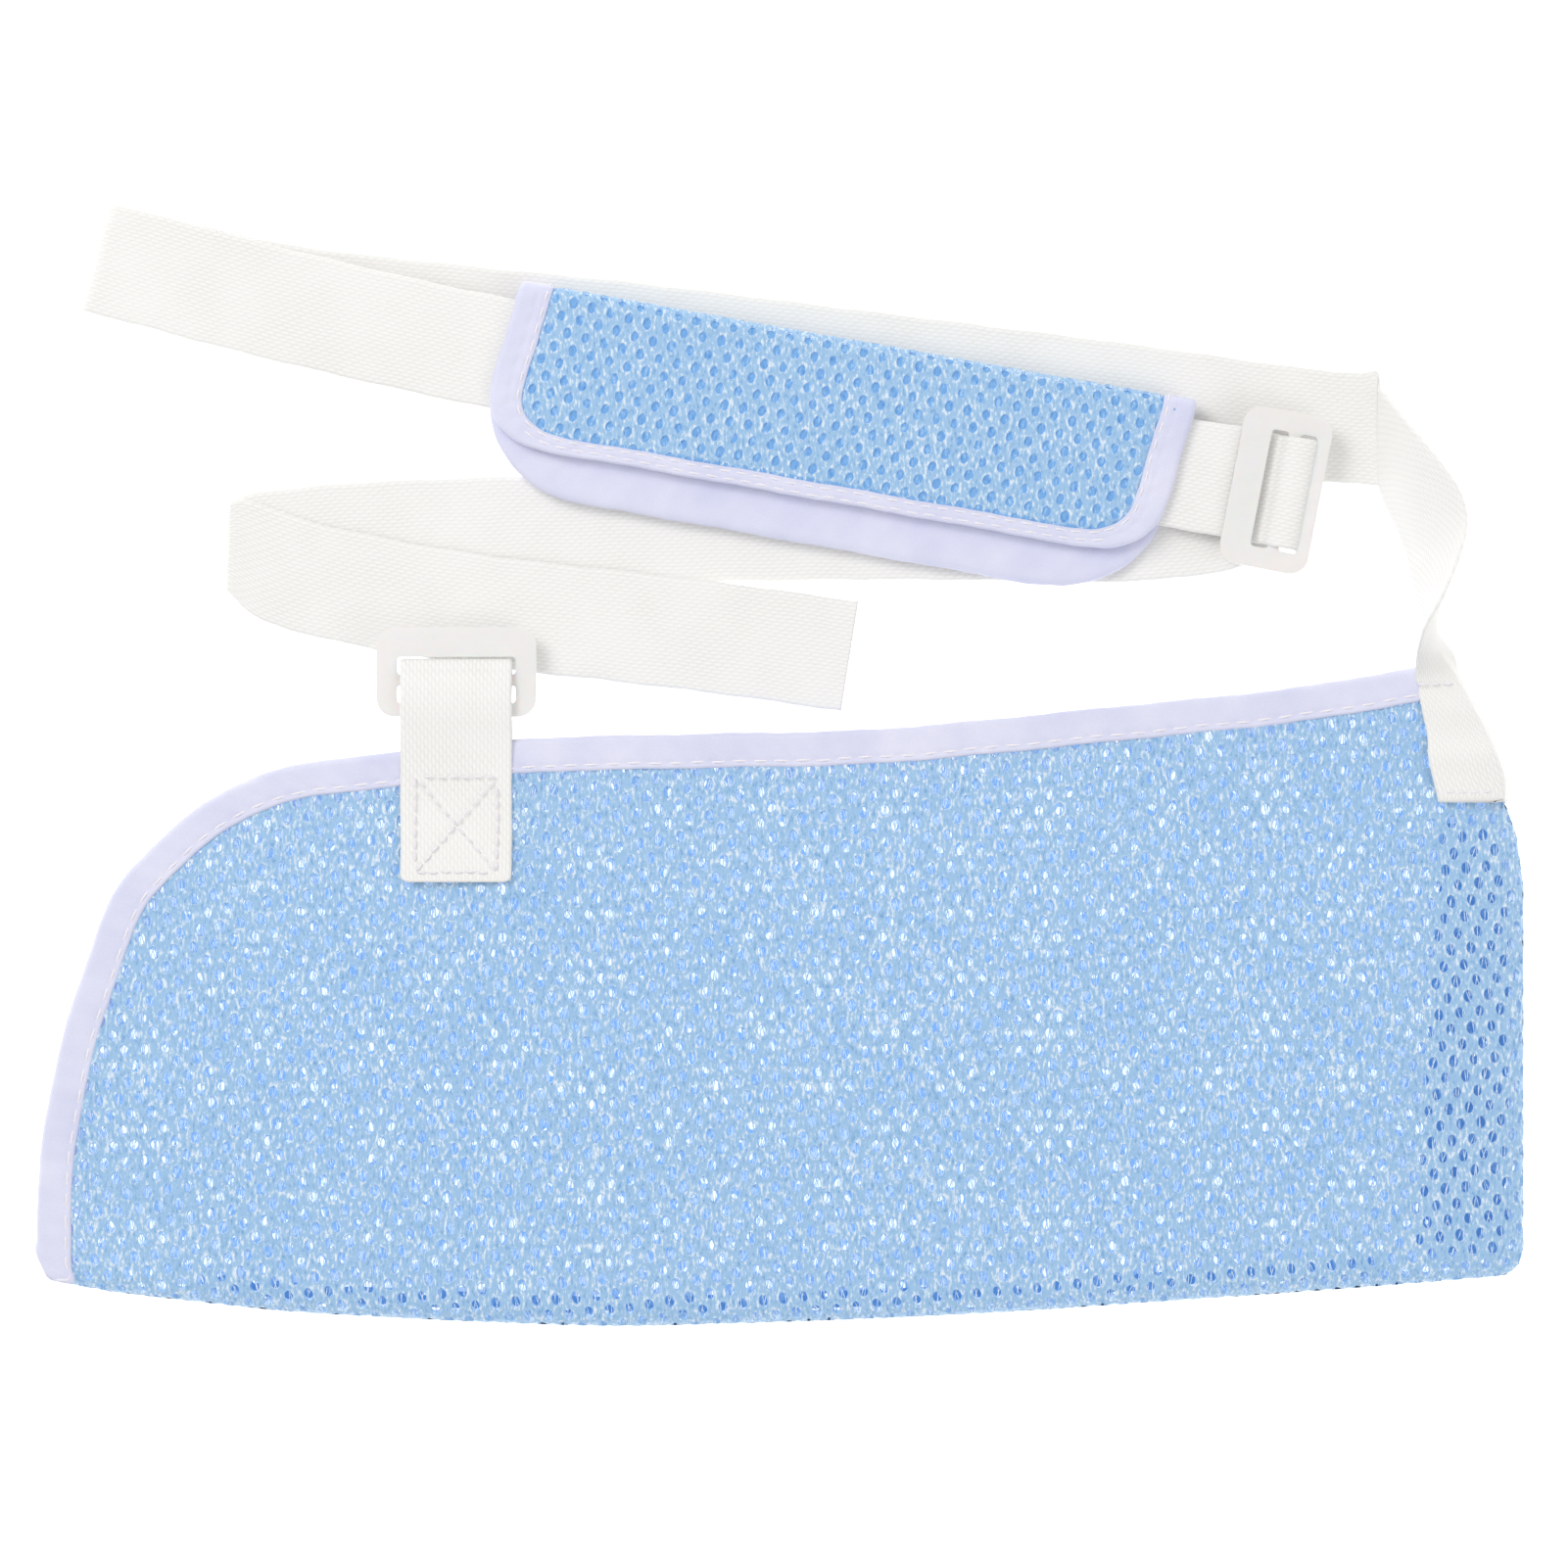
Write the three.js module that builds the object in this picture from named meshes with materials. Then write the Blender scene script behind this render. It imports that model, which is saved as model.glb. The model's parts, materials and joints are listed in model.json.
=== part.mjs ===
// Arm sling laid flat: a two-panel mesh pouch, a webbing strap folded back on itself,
// a padded shoulder sleeve and two tri-glide sliders.
// Millimetres, +Z up, resting on z = 0, the bounding box centred on the Z axis.
import * as THREE from 'three';
import { mergeVertices } from 'three/addons/utils/BufferGeometryUtils.js';

// ---- driving dimensions ----
const FIT = 0.3;                   // clearance kept between touching pieces
const PANEL = 2.6;                 // thickness of the pouch mesh
const FRONT_Z = 8.0;               // underside of the front panel
const FRONT_TOP = FRONT_Z + PANEL;
const POUCH_RIGHT = 200;           // x of the elbow end
const WALL = 3;                    // thickness of the folded bottom and elbow end
const TAPE = 9.3;                  // width of the finished binding
const TAPE_EXTRA = 0.4;            // how far a binding stands proud of the mesh it wraps
const WEB_W = 30;                  // webbing width
const WEB_T = 1.3;                 // webbing thickness
const WEB_HALF = WEB_W / 2;

// Heights of the middle of the webbing in each stretch of the strap, lowest first.
const Z_UPPER = WEB_T / 2 + 0.05;
const Z_RETURN = Z_UPPER + WEB_T + FIT;
const Z_TAIL = Z_UPPER + WEB_T + 2 * FIT;
const PAD_MESH = 2.5;              // thickness of each layer of the shoulder pad
const PAD_LOW = 3.2;               // underside of the pad
const Z_PAD_RUN = PAD_LOW + PAD_MESH + FIT + WEB_T / 2;
const PAD_HIGH = Z_PAD_RUN + WEB_T / 2 + FIT;

// Tri-glide slider, measured along the strap: wide bar, slot, middle bar, slot, narrow bar.
const SLIDER = { across: 43, inner: 32, thick: 2.2, wide: 8, slot: 4.7, middle: 3, narrow: 3.7 };
const WRAP = 2.2 + WEB_T / 2;      // radius of the webbing's middle round a slider's middle bar

const v2 = (x, y) => new THREE.Vector2(x, y);
const v3 = (x, y, z) => new THREE.Vector3(x, y, z);
const radians = THREE.MathUtils.degToRad;

const fabric = (color, roughness = 0.9) => new THREE.MeshStandardMaterial({ color, roughness, metalness: 0 });
const MESH_BLUE = fabric(0x9cc9f0);
const TAPE_LILAC = fabric(0xdedff4, 0.75);
const WEBBING = fabric(0xf2f1ec);
const THREAD = fabric(0xe9e6f2);
const CLEAR_WHITE = fabric(0xeceae6, 0.35);

const model = new THREE.Group();

function add(name, geometry, material, parent = model) {
  const mesh = new THREE.Mesh(geometry, material.clone());
  mesh.name = name;
  parent.add(mesh);
  return mesh;
}

// ---- outlines and solids ----
const spline = (points, steps) => new THREE.SplineCurve(points.map(([x, y]) => v2(x, y))).getPoints(steps);

// The outline moved sideways; a positive distance is to the left of its direction.
function offset(points, distance) {
  return points.map((point, i) => {
    const before = points[Math.max(i - 1, 0)];
    const after = points[Math.min(i + 1, points.length - 1)];
    const along = after.clone().sub(before).normalize();
    return v2(point.x - along.y * distance, point.y + along.x * distance);
  });
}

function plate(outline, low, high) {
  const options = { depth: high - low, bevelEnabled: false };
  return new THREE.ExtrudeGeometry(new THREE.Shape(outline), options).translate(0, 0, low);
}

// A closed solid through rings of points, with flat ends.
function loft(rings) {
  const count = rings[0].length;
  const position = rings.flat().flatMap((p) => [p.x, p.y, p.z]);
  const index = [];
  for (let i = 0; i + 1 < rings.length; i++) {
    for (let j = 0; j < count; j++) {
      const a = i * count + j;
      const b = i * count + ((j + 1) % count);
      index.push(a, b, b + count, a, b + count, a + count);
    }
  }
  const last = (rings.length - 1) * count;
  for (let j = 1; j + 1 < count; j++) index.push(0, j + 1, j, last, last + j, last + j + 1);
  const geometry = new THREE.BufferGeometry();
  geometry.setAttribute('position', new THREE.Float32BufferAttribute(position, 3));
  geometry.setIndex(index);
  return facingOut(geometry);
}

function facingOut(geometry) {
  const p = geometry.attributes.position;
  const index = geometry.index.array;
  const at = (i) => v3().fromBufferAttribute(p, index[i]);
  let volume = 0;
  for (let i = 0; i < index.length; i += 3) volume += at(i).dot(at(i + 1).cross(at(i + 2)));
  if (volume < 0) geometry.setIndex(Array.from(index).reverse());
  return mergeVertices(geometry);
}

// Webbing between two edges given by as many points each.
function ribbon(edgeA, edgeB, thick = WEB_T) {
  const middle = edgeA.map((a, i) => a.clone().add(edgeB[i]).multiplyScalar(0.5));
  const rings = edgeA.map((a, i) => {
    const b = edgeB[i];
    const along = middle[Math.min(i + 1, middle.length - 1)].clone().sub(middle[Math.max(i - 1, 0)]);
    const up = along.cross(b.clone().sub(a)).normalize().multiplyScalar(thick / 2);
    return [a.clone().add(up), b.clone().add(up), b.clone().sub(up), a.clone().sub(up)];
  });
  return loft(rings);
}

const smooth = (points, steps) =>
  new THREE.CatmullRomCurve3(points.map((p) => v3(...p)), false, 'centripetal').getPoints(steps);

// Webbing centred on a line of [x, y, z] points, level from side to side. start and end give
// the direction in degrees that the webbing has there, and it turns to the line's own from them.
function webbing(points, steps, start, end) {
  const line = smooth(points, steps);
  const last = line.length - 1;
  const TURN = 11;                 // stations over which the known direction fades out
  const edges = [WEB_HALF, -WEB_HALF].map((side) => line.map((point, i) => {
    const before = line[Math.max(i - 1, 0)];
    const after = line[Math.min(i + 1, last)];
    const own = Math.atan2(after.y - before.y, after.x - before.x);
    const [known, away] = i < last / 2 ? [radians(start), i] : [radians(end), last - i];
    const share = Math.max(0, 1 - away / TURN);
    const angle = own + share * Math.atan2(Math.sin(known - own), Math.cos(known - own));
    const z = Math.max(point.z, Z_UPPER);
    return v3(point.x - Math.sin(angle) * side, point.y + Math.cos(angle) * side, z);
  }));
  return ribbon(...edges);
}

// Webbing that bends only up and down: a path of [along, z] from origin, in a direction in degrees.
function bentBand(origin, degrees, path) {
  const [x, y] = origin;
  const [c, s] = [Math.cos(radians(degrees)), Math.sin(radians(degrees))];
  const edge = (side) => path.map(([u, z]) => v3(x + c * u - s * side, y + s * u + c * side, z));
  return ribbon(edge(WEB_HALF), edge(-WEB_HALF));
}

// Points on an arc in a side view, from one angle to another in degrees.
function arc([u, z], radius, from, to, steps) {
  return Array.from({ length: steps + 1 }, (_, i) => {
    const angle = radians(from + ((to - from) * i) / steps);
    return [u + radius * Math.cos(angle), z + radius * Math.sin(angle)];
  });
}

// ---- pouch ----
// Its open edge from the hand corner at the bottom left, up and round to the elbow corner.
const OPEN_EDGE = [
  [-200.3, -132], [-200.3, -116], [-198.2, -96], [-193.2, -72.5], [-186, -50.3], [-178.9, -33.1],
  [-167.8, -20.9], [-152.7, -8.7], [-132.3, -0.5], [-106.1, 2.9], [-67.5, 6.9], [-20.9, 8.2],
  [27, 9.5], [93.9, 15.9], [134.4, 20.1], [164.8, 25],
];
const BOTTOM_EDGE = [
  [-181, -142.2], [-152.7, -145.5], [-123.8, -148.2], [-63, -151.1], [-29.1, -151.3],
  [42.9, -148.7], [101.1, -145], [153.7, -141.3], [192, -138.2],
];
const CORNER = 8;                                   // radius of the hand corner
const HAND_CORNER = v2(-200.3 + CORNER, -132);      // its centre
const HINGE_START = v2(-190, -140.8);               // the diagonal that the front panel folds along
const HINGE_END = v2(164.8, 8.6);
const openEdge = spline(OPEN_EDGE, 60);
const bottomEdge = spline(BOTTOM_EDGE, 28);

// A binding follows the open edge and rounds off at the hand corner.
function binding(inset, low, high) {
  const outer = offset(openEdge, -inset);
  const inner = offset(openEdge, -TAPE);
  const corner = Array.from({ length: 7 }, (_, i) => {
    const [angle, radius] = [radians(270 - 15 * i), CORNER - inset];
    return v2(HAND_CORNER.x + radius * Math.cos(angle), HAND_CORNER.y + radius * Math.sin(angle));
  });
  const start = v2(inner[0].x, corner[0].y);
  return plate([start, ...corner, ...outer.slice(1), ...inner.reverse()], low, high);
}

const meshEdge = offset(openEdge, -TAPE - FIT);     // where the mesh begins inside its binding
const wallInside = offset(bottomEdge, WALL);        // inner face of the folded bottom
const inside = POUCH_RIGHT - WALL - FIT;
const elbowInside = [v2(inside - 1.7, -21.2), v2(inside, -34), v2(inside, -129), v2(inside - 3, -134)];

function backPanel() {
  const elbow = [v2(166.6, 15.4), v2(172, 17), v2(inside - 4.5, -14), ...elbowInside];
  const bottom = offset(bottomEdge, WALL + FIT).filter((p) => p.x < inside - 5).reverse();
  const hand = [v2(-184, -139), v2(meshEdge[0].x, -139)];
  add('pouch_back_panel', plate([...meshEdge, ...elbow, ...bottom, ...hand], 0, PANEL), MESH_BLUE);
}

function frontPanel() {
  const across = HINGE_END.clone().sub(HINGE_START).normalize();
  const away = v2(across.y, -across.x).multiplyScalar(FIT);      // to the fixed side of the diagonal
  const upper = [HINGE_START, HINGE_END].map((p) => p.clone().sub(away));
  const lower = [HINGE_START, HINGE_END].map((p) => p.clone().add(away));
  add('pouch_front_flap', plate([...meshEdge, upper[1], upper[0]], FRONT_Z, FRONT_TOP), MESH_BLUE);
  const elbow = [v2(167.4, 24.9), v2(170, 25), v2(177, 20.5), v2(inside - 5.1, -9.5), ...elbowInside];
  const bottom = offset(bottomEdge, WALL + FIT).filter((p) => p.x < inside - 5).reverse();
  const outline = [lower[1], v2(167.4, lower[1].y), ...elbow, ...bottom];
  add('pouch_front_panel', plate(outline, FRONT_Z, FRONT_TOP), MESH_BLUE);
}

// The mesh is one piece folded up at the bottom and closed at the elbow.
function pouchEnds() {
  add('pouch_bottom_fold', plate([...bottomEdge, ...wallInside.reverse()], 0, FRONT_TOP), MESH_BLUE);
  const outer = [v2(195.6, -12), v2(198.3, -20), v2(POUCH_RIGHT, -33), v2(POUCH_RIGHT, -130.7),
    v2(198.6, -135.2), v2(195.4, -137.6), v2(192.4, -137.9)];
  const inner = offset(outer, -WALL).reverse();
  add('pouch_elbow_end', plate([...outer, ...inner], 0, FRONT_TOP), MESH_BLUE);
  const low = PANEL + FIT;
  const elbowFlap = [v2(178, -16), v2(193, -16), v2(196, -34), v2(196, -132), v2(171, -132)];
  add('elbow_seam_allowance', plate(elbowFlap, low, low + 1.2), MESH_BLUE);
  const edge = bottomEdge.filter((p) => p.x > -160 && p.x < 168);
  const seam = [...offset(edge, WALL + FIT), ...offset(edge, WALL + FIT + 4.5).reverse()];
  add('bottom_seam_allowance', plate(seam, low, low + 1.2), MESH_BLUE);
}

function pouch() {
  backPanel();
  frontPanel();
  pouchEnds();
  add('back_binding', binding(1.2, 0, PANEL + TAPE_EXTRA), TAPE_LILAC);
  add('front_binding', binding(0, FRONT_Z - TAPE_EXTRA, FRONT_TOP + TAPE_EXTRA), TAPE_LILAC);
}

// ---- tri-glide slider: its middle bar lies on the group's Y axis, its wide bar towards -X ----
const SLIDER_LEFT = -SLIDER.middle / 2 - SLIDER.slot - SLIDER.wide;
const SLIDER_RIGHT = SLIDER.middle / 2 + SLIDER.slot + SLIDER.narrow;

function rounded(left, right, bottom, top, radius) {
  const shape = new THREE.Shape();
  shape.absarc(right - radius, top - radius, radius, 0, Math.PI / 2);
  shape.absarc(left + radius, top - radius, radius, Math.PI / 2, Math.PI);
  shape.absarc(left + radius, bottom + radius, radius, Math.PI, 1.5 * Math.PI);
  shape.absarc(right - radius, bottom + radius, radius, 1.5 * Math.PI, 2 * Math.PI);
  return shape;
}

function slider(name, position, degrees) {
  const half = SLIDER.across / 2;
  const shape = rounded(SLIDER_LEFT, SLIDER_RIGHT, -half, half, 5);
  for (const side of [-1, 1]) {
    const near = (side * SLIDER.middle) / 2;
    const far = near + side * SLIDER.slot;
    const [left, right] = [Math.min(near, far), Math.max(near, far)];
    shape.holes.push(rounded(left, right, -SLIDER.inner / 2, SLIDER.inner / 2, 1));
  }
  const options = { depth: SLIDER.thick, bevelEnabled: false, curveSegments: 6 };
  const geometry = new THREE.ExtrudeGeometry(shape, options);
  const mesh = add(name, geometry.translate(0, 0, -SLIDER.thick / 2), CLEAR_WHITE);
  mesh.position.set(...position);
  mesh.rotation.z = radians(degrees);
}

// ---- the sling's own slider and the webbing loop that holds it ----
const LOOP_X = -87.5;
const LOOP_BAR_Y = 22.6;
const LOOP_BAR_Z = 9.3;
const LOOP_SEWN_Y = -31.8;         // lower end of the sewn patch
const LOOP_TOP_Z = FRONT_TOP + TAPE_EXTRA + FIT + WEB_T / 2;
const LOOP_UNDER_Z = FRONT_Z - TAPE_EXTRA - FIT - WEB_T / 2;

function buckleLoop() {
  const [y, z] = [LOOP_BAR_Y, LOOP_BAR_Z];
  const front = [[LOOP_SEWN_Y, LOOP_TOP_Z], [4, LOOP_TOP_Z], [9, 12.7], [13, 13.4], [18, 13.4],
    [20.6, 12.8], ...arc([y, z], WRAP, 97, 6, 7)];
  const under = [...arc([y, z], WRAP, -4, -122, 8), [19.4, 8.3], [18.2, 10.3], [16.6, 11.7],
    [12.2, 11.7], [10.4, 10], [8.6, 7.8], [7, LOOP_UNDER_Z], [LOOP_SEWN_Y, LOOP_UNDER_Z]];
  add('buckle_loop_front', bentBand([LOOP_X, 0], 90, front), WEBBING);
  add('buckle_loop_back', bentBand([LOOP_X, 0], 90, under), WEBBING);
}

// Box-and-cross stitching raised on the sewn patch, as one joined body.
function boxStitch() {
  const line = 0.9;
  const [low, high, half] = [-29.6, -3, 11.5];
  const outer = [v2(-half, low), v2(half, low), v2(half, high), v2(-half, high)];
  const shape = new THREE.Shape(outer);
  const middle = (low + high) / 2;
  const gap = 2.2 * line;
  const holes = [
    [[-half + gap, high - line], [half - gap, high - line], [0, middle + line]],
    [[-half + gap, low + line], [0, middle - line], [half - gap, low + line]],
    [[-half + line, low + gap], [-half + line, high - gap], [-line, middle]],
    [[half - line, low + gap], [line, middle], [half - line, high - gap]],
  ];
  for (const hole of holes) shape.holes.push(new THREE.Path(hole.map(([x, y]) => v2(x, y))));
  const lowZ = LOOP_TOP_Z + WEB_T / 2 + FIT;
  const geometry = new THREE.ExtrudeGeometry(shape, { depth: 0.4, bevelEnabled: false });
  add('loop_box_stitching', geometry.translate(LOOP_X, 0, lowZ), THREAD);
}

// ---- strap ----
const ADJUSTER = [135.2, 73.3, Z_PAD_RUN + WEB_T / 2 + FIT + SLIDER.thick / 2];
const ADJUSTER_ANGLE = -11;
const FAR_FOLD = [-182.1, 136.1];
const FAR_ANGLE = -14.8;
const RETURN_FOLD = [-148.3, 58];
const RETURN_ANGLE = -2;
const FREE_HINGE = [-45.4, 37.4];  // where the free end lifts

// The point a distance u from another, in a direction in degrees.
function along([x, y], degrees, u) {
  return [x + u * Math.cos(radians(degrees)), y + u * Math.sin(radians(degrees))];
}

function anchor() {
  const top = FRONT_TOP + FIT;
  const tab = [v2(170.1, 25.4), v2(174.1, 4.6), v2(191, 4.6), v2(185.9, 14.6), v2(181.6, 23.4)];
  add('strap_anchor_tab', plate(tab, top, top + WEB_T), WEBBING);
  const hem = [v2(173.4, 4.2), v2(175.4, -7), v2(176.5, -9.3), v2(186.8, -10.1), v2(193.8, -9.3),
    v2(194.8, -5.6), v2(191.2, 4.2)];
  add('strap_anchor_hem', plate(hem, top, top + 2 * WEB_T), WEBBING);
  const edge = [v2(183.3, 22.6), v2(196.6, -5.6)];
  const wrap = [...edge, ...offset(edge, -WEB_T).reverse()];
  add('strap_anchor_edge', plate(wrap, FIT, FRONT_TOP), WEBBING);
}

// The strap stands up on edge and turns over once on its way to the pouch.
function riser() {
  const high = [[161.5, 102, 1.2], [168, 92.6, 12], [175.2, 82.6, 21], [181.5, 73, 26], [183.2, 65, 28],
    [181, 56, 30], [176.6, 45.5, 31], [171.6, 36, 26], [170.4, 27, 13.6]];
  const low = [[161, 75.2, 0.8], [163.4, 69, 1.6], [166, 63, 2.2], [168.4, 57, 2.4], [170, 50, 2.4],
    [171.6, 43.5, 2.4], [174.4, 37, 2.8], [179.6, 31.5, 3.6], [184.4, 25.4, 4.6]];
  add('strap_riser', ribbon(smooth(high, 32), smooth(low, 32)), WEBBING);
}

function strap() {
  anchor();
  riser();
  const z = Z_UPPER;
  const upper = [[...along(FAR_FOLD, FAR_ANGLE, 0.6), z], [-139, 126.2, z], [-85.7, 119.7, z],
    [-43.9, 115.5, z], [11.9, 108.7, z], [96.3, 98.1, z], [140, 92, z], [160.6, 90.2, z]];
  add('strap_upper_run', webbing(upper, 28, FAR_ANGLE, -3), WEBBING);

  const rise = (Z_PAD_RUN - Z_UPPER) / 2;
  add('strap_far_fold', bentBand(FAR_FOLD, FAR_ANGLE, arc([0, Z_UPPER + rise], rise, 90, 270, 12)), WEBBING);

  const shoulder = [[...along(FAR_FOLD, FAR_ANGLE, 0.6), Z_PAD_RUN], [-137.6, 124.4, Z_PAD_RUN],
    [-77.5, 110.9, Z_PAD_RUN], [-20, 100.7, Z_PAD_RUN], [60, 86.5, Z_PAD_RUN],
    [...along(ADJUSTER, ADJUSTER_ANGLE, -16), Z_PAD_RUN]];
  add('strap_shoulder_run', webbing(shoulder, 24, FAR_ANGLE, ADJUSTER_ANGLE), WEBBING);

  const bar = [0, ADJUSTER[2]];
  const turn = [[-15.7, Z_PAD_RUN], [-5.6, Z_PAD_RUN], [-4.6, 7.5], [-2.9, 10.2],
    ...arc(bar, WRAP, 128, -90, 16)];
  add('strap_adjuster_turn', bentBand(ADJUSTER, ADJUSTER_ANGLE, turn), WEBBING);

  const under = bar[1] - WRAP;
  const back = [[...along(ADJUSTER, ADJUSTER_ANGLE, -0.3), under], [128.6, 70.6, 4.5], [123.5, 68.9, 3.3],
    [117, 66.9, Z_RETURN], [102, 64.8, Z_RETURN], [87, 64.2, 1.5], [70, 64.4, Z_UPPER],
    [20, 64.8, Z_UPPER], [-50, 63.4, Z_UPPER], [-115, 61, Z_UPPER],
    [...along(RETURN_FOLD, RETURN_ANGLE, 0.6), Z_UPPER]];
  add('strap_return_run', webbing(back, 44, 180 + ADJUSTER_ANGLE, 180 + RETURN_ANGLE), WEBBING);

  const half = (Z_TAIL - Z_UPPER) / 2;
  const fold = arc([0, Z_UPPER + half], half, 90, 270, 8);
  add('strap_return_fold', bentBand(RETURN_FOLD, RETURN_ANGLE, fold), WEBBING);

  const tail = [[...along(RETURN_FOLD, RETURN_ANGLE, 0.6), Z_TAIL], [-135, 52.4, Z_TAIL],
    [-109, 46.1, Z_TAIL], [-78, 41, Z_TAIL], [...FREE_HINGE, Z_TAIL]];
  add('strap_tail', webbing(tail, 16, RETURN_ANGLE, -8), WEBBING);
  const free = [[...along(FREE_HINGE, -8, 0.6), Z_TAIL], [-14, 33.6, Z_TAIL], [18.4, 29.1, Z_TAIL]];
  add('strap_free_end', webbing(free, 8, -8, -9), WEBBING);
}

// ---- shoulder pad: a mesh sleeve round the strap, modelled along X in a turned group ----
const PAD_CENTRE = [13.9, 94.7];
const PAD_ANGLE = -10.05;
const PAD = { left: -81.8, right: 84.4, top: 20.5, front: -19, back: -27, tape: 9, lip: 4.2 };

function box(left, right, bottom, top, low, high, corner = 0) {
  const outline = corner
    ? [v2(left + corner, bottom), v2(right - corner, bottom), v2(right, bottom + corner), v2(right, top),
      v2(left, top), v2(left, bottom + corner)]
    : [v2(left, bottom), v2(right, bottom), v2(right, top), v2(left, top)];
  return plate(outline, low, high);
}

function shoulderPad() {
  const pad = new THREE.Group();
  pad.position.set(...PAD_CENTRE, 0);
  pad.rotation.z = radians(PAD_ANGLE);
  model.add(pad);
  const { left, right, top, front, back, tape, lip } = PAD;
  const inside = top - PAD_MESH - 0.5;
  const [backTop, frontTop] = [PAD_LOW + PAD_MESH, PAD_HIGH + PAD_MESH];
  const piece = (name, shape, material) => add(name, box(...shape), material, pad);
  piece('pad_back_layer', [left, right, back, inside - FIT, PAD_LOW, backTop], MESH_BLUE);
  piece('pad_front_layer', [left, right, front, inside - FIT, PAD_HIGH, frontTop], MESH_BLUE);
  piece('pad_top_fold', [left, right, inside, top, PAD_LOW, frontTop], MESH_BLUE);
  const ends = { left: [left - FIT - tape, left - FIT], right: [right + FIT, right + FIT + tape] };
  for (const [side, [a, b]] of Object.entries(ends)) {
    piece(`pad_${side}_front_binding`, [a, b, front - lip, top, PAD_HIGH, frontTop + 0.3], TAPE_LILAC);
    piece(`pad_${side}_back_binding`, [a, b, back - tape, top, PAD_LOW, backTop, 4], TAPE_LILAC);
  }
  const frontEdge = [left, right, front - lip, front - FIT, backTop + FIT, frontTop + 0.3];
  const backEdge = [left, right, back - tape, back - FIT, PAD_LOW, backTop];
  piece('pad_front_edge_binding', frontEdge, TAPE_LILAC);
  piece('pad_back_edge_binding', backEdge, TAPE_LILAC);
}

pouch();
buckleLoop();
boxStitch();
slider('pouch_slider', [LOOP_X, LOOP_BAR_Y, LOOP_BAR_Z], -90);
slider('strap_adjuster', ADJUSTER, ADJUSTER_ANGLE);
strap();
shoulderPad();

// The origin is under the middle of everything.
const bounds = new THREE.Box3().setFromObject(model);
const centre = bounds.getCenter(v3());
model.position.set(-centre.x, -centre.y, -bounds.min.z);

export default model;
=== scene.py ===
"""Arm sling laid flat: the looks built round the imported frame. Metres, in the frame's own axes."""

import itertools
import json
import math
from contextlib import contextmanager

import bmesh
import bpy
import numpy as np
from mathutils.bvhtree import BVHTree
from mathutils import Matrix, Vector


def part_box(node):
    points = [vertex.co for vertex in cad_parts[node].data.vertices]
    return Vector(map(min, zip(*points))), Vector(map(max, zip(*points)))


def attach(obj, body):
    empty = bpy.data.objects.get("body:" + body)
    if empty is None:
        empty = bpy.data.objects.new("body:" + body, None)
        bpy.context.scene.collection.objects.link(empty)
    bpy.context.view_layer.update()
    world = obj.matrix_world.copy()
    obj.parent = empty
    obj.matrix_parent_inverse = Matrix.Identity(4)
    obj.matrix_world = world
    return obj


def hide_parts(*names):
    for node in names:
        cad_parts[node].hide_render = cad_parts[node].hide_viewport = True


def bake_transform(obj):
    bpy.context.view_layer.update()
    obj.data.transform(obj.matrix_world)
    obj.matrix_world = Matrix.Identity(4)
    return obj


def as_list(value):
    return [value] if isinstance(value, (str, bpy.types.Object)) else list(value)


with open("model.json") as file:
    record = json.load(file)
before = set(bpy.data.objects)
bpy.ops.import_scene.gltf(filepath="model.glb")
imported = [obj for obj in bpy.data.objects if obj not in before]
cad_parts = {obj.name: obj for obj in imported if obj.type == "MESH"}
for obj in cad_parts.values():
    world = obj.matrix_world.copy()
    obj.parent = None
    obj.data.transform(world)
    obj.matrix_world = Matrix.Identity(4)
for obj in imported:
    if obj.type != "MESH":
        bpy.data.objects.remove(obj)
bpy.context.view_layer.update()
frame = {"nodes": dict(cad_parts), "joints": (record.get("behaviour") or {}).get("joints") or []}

MM = 0.001

# Webbing: 30 mm polypropylene. Its weave pattern repeats every four stations along and four across.
WEB_WIDTH = 30 * MM
WEB_THICK = 1.25 * MM
WEAVE_ALONG = 0.65 * MM
WEAVE_ACROSS = 0.5 * MM
WEAVE_RELIEF = 0.16 * MM
SELVEDGE = 0.9 * MM  # how far in from its edges webbing is rounded
TURN_REACH = 14 * MM  # a turn round a bar starts this far from its end
ADJUSTER_LENGTH = 120 * MM  # the strap's end that the adjuster's turn is in
ADJUSTER_SLACK, BUCKLE_SLACK = 3.2 * MM, 2.4 * MM
FREE_END_BEND = (12 * MM, 14 * MM)  # before and beyond the free end's hinge

# The pouch's two panels curve towards each other and meet along the bottom and the elbow end.
POUCH_MIDDLE = 5.3 * MM
POUCH_RISE = 5.2 * MM
POUCH_SWELL = [(110 * MM, 0.18 * MM), (67 * MM, 0.1 * MM)]
FOLD_REACH = 6 * MM
FOLD_ARC = math.pi / 2 * math.sqrt((POUCH_RISE**2 + FOLD_REACH**2) / 2)
FOLD_SPARE = FOLD_ARC - FOLD_REACH
NET_THICK = 1.5 * MM
POUCH_PITCH = (5.5 * MM, 4.25 * MM)
POUCH_HOLE = (1.3 * MM, 1.8 * MM)
MESH_LEAN = 7.0  # degrees that the rows of holes climb, mirrored behind

# Nets: how a hole's rim stands above its cell, and how the holes narrow and close.
RIM_DROP = 0.28 * MM
BACK_HOLE = 0.84  # size of a hole on the net's back, as a share of its face
HOLE_CHANGE = 0.07
HOLE_CLOSING = 1.4 * MM  # holes shrink this near a net's border
HOLE_LEAST = 0.06
SIDEWAYS_WAVES = [(94 * MM, 0.8), (51 * MM, 0.35)]
UPWARDS_WAVES = [(117 * MM, 0.7), (63 * MM, 0.35)]
BORDER_SPARE = 1.1 * MM  # cells are made this far outside a net's border

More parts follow.
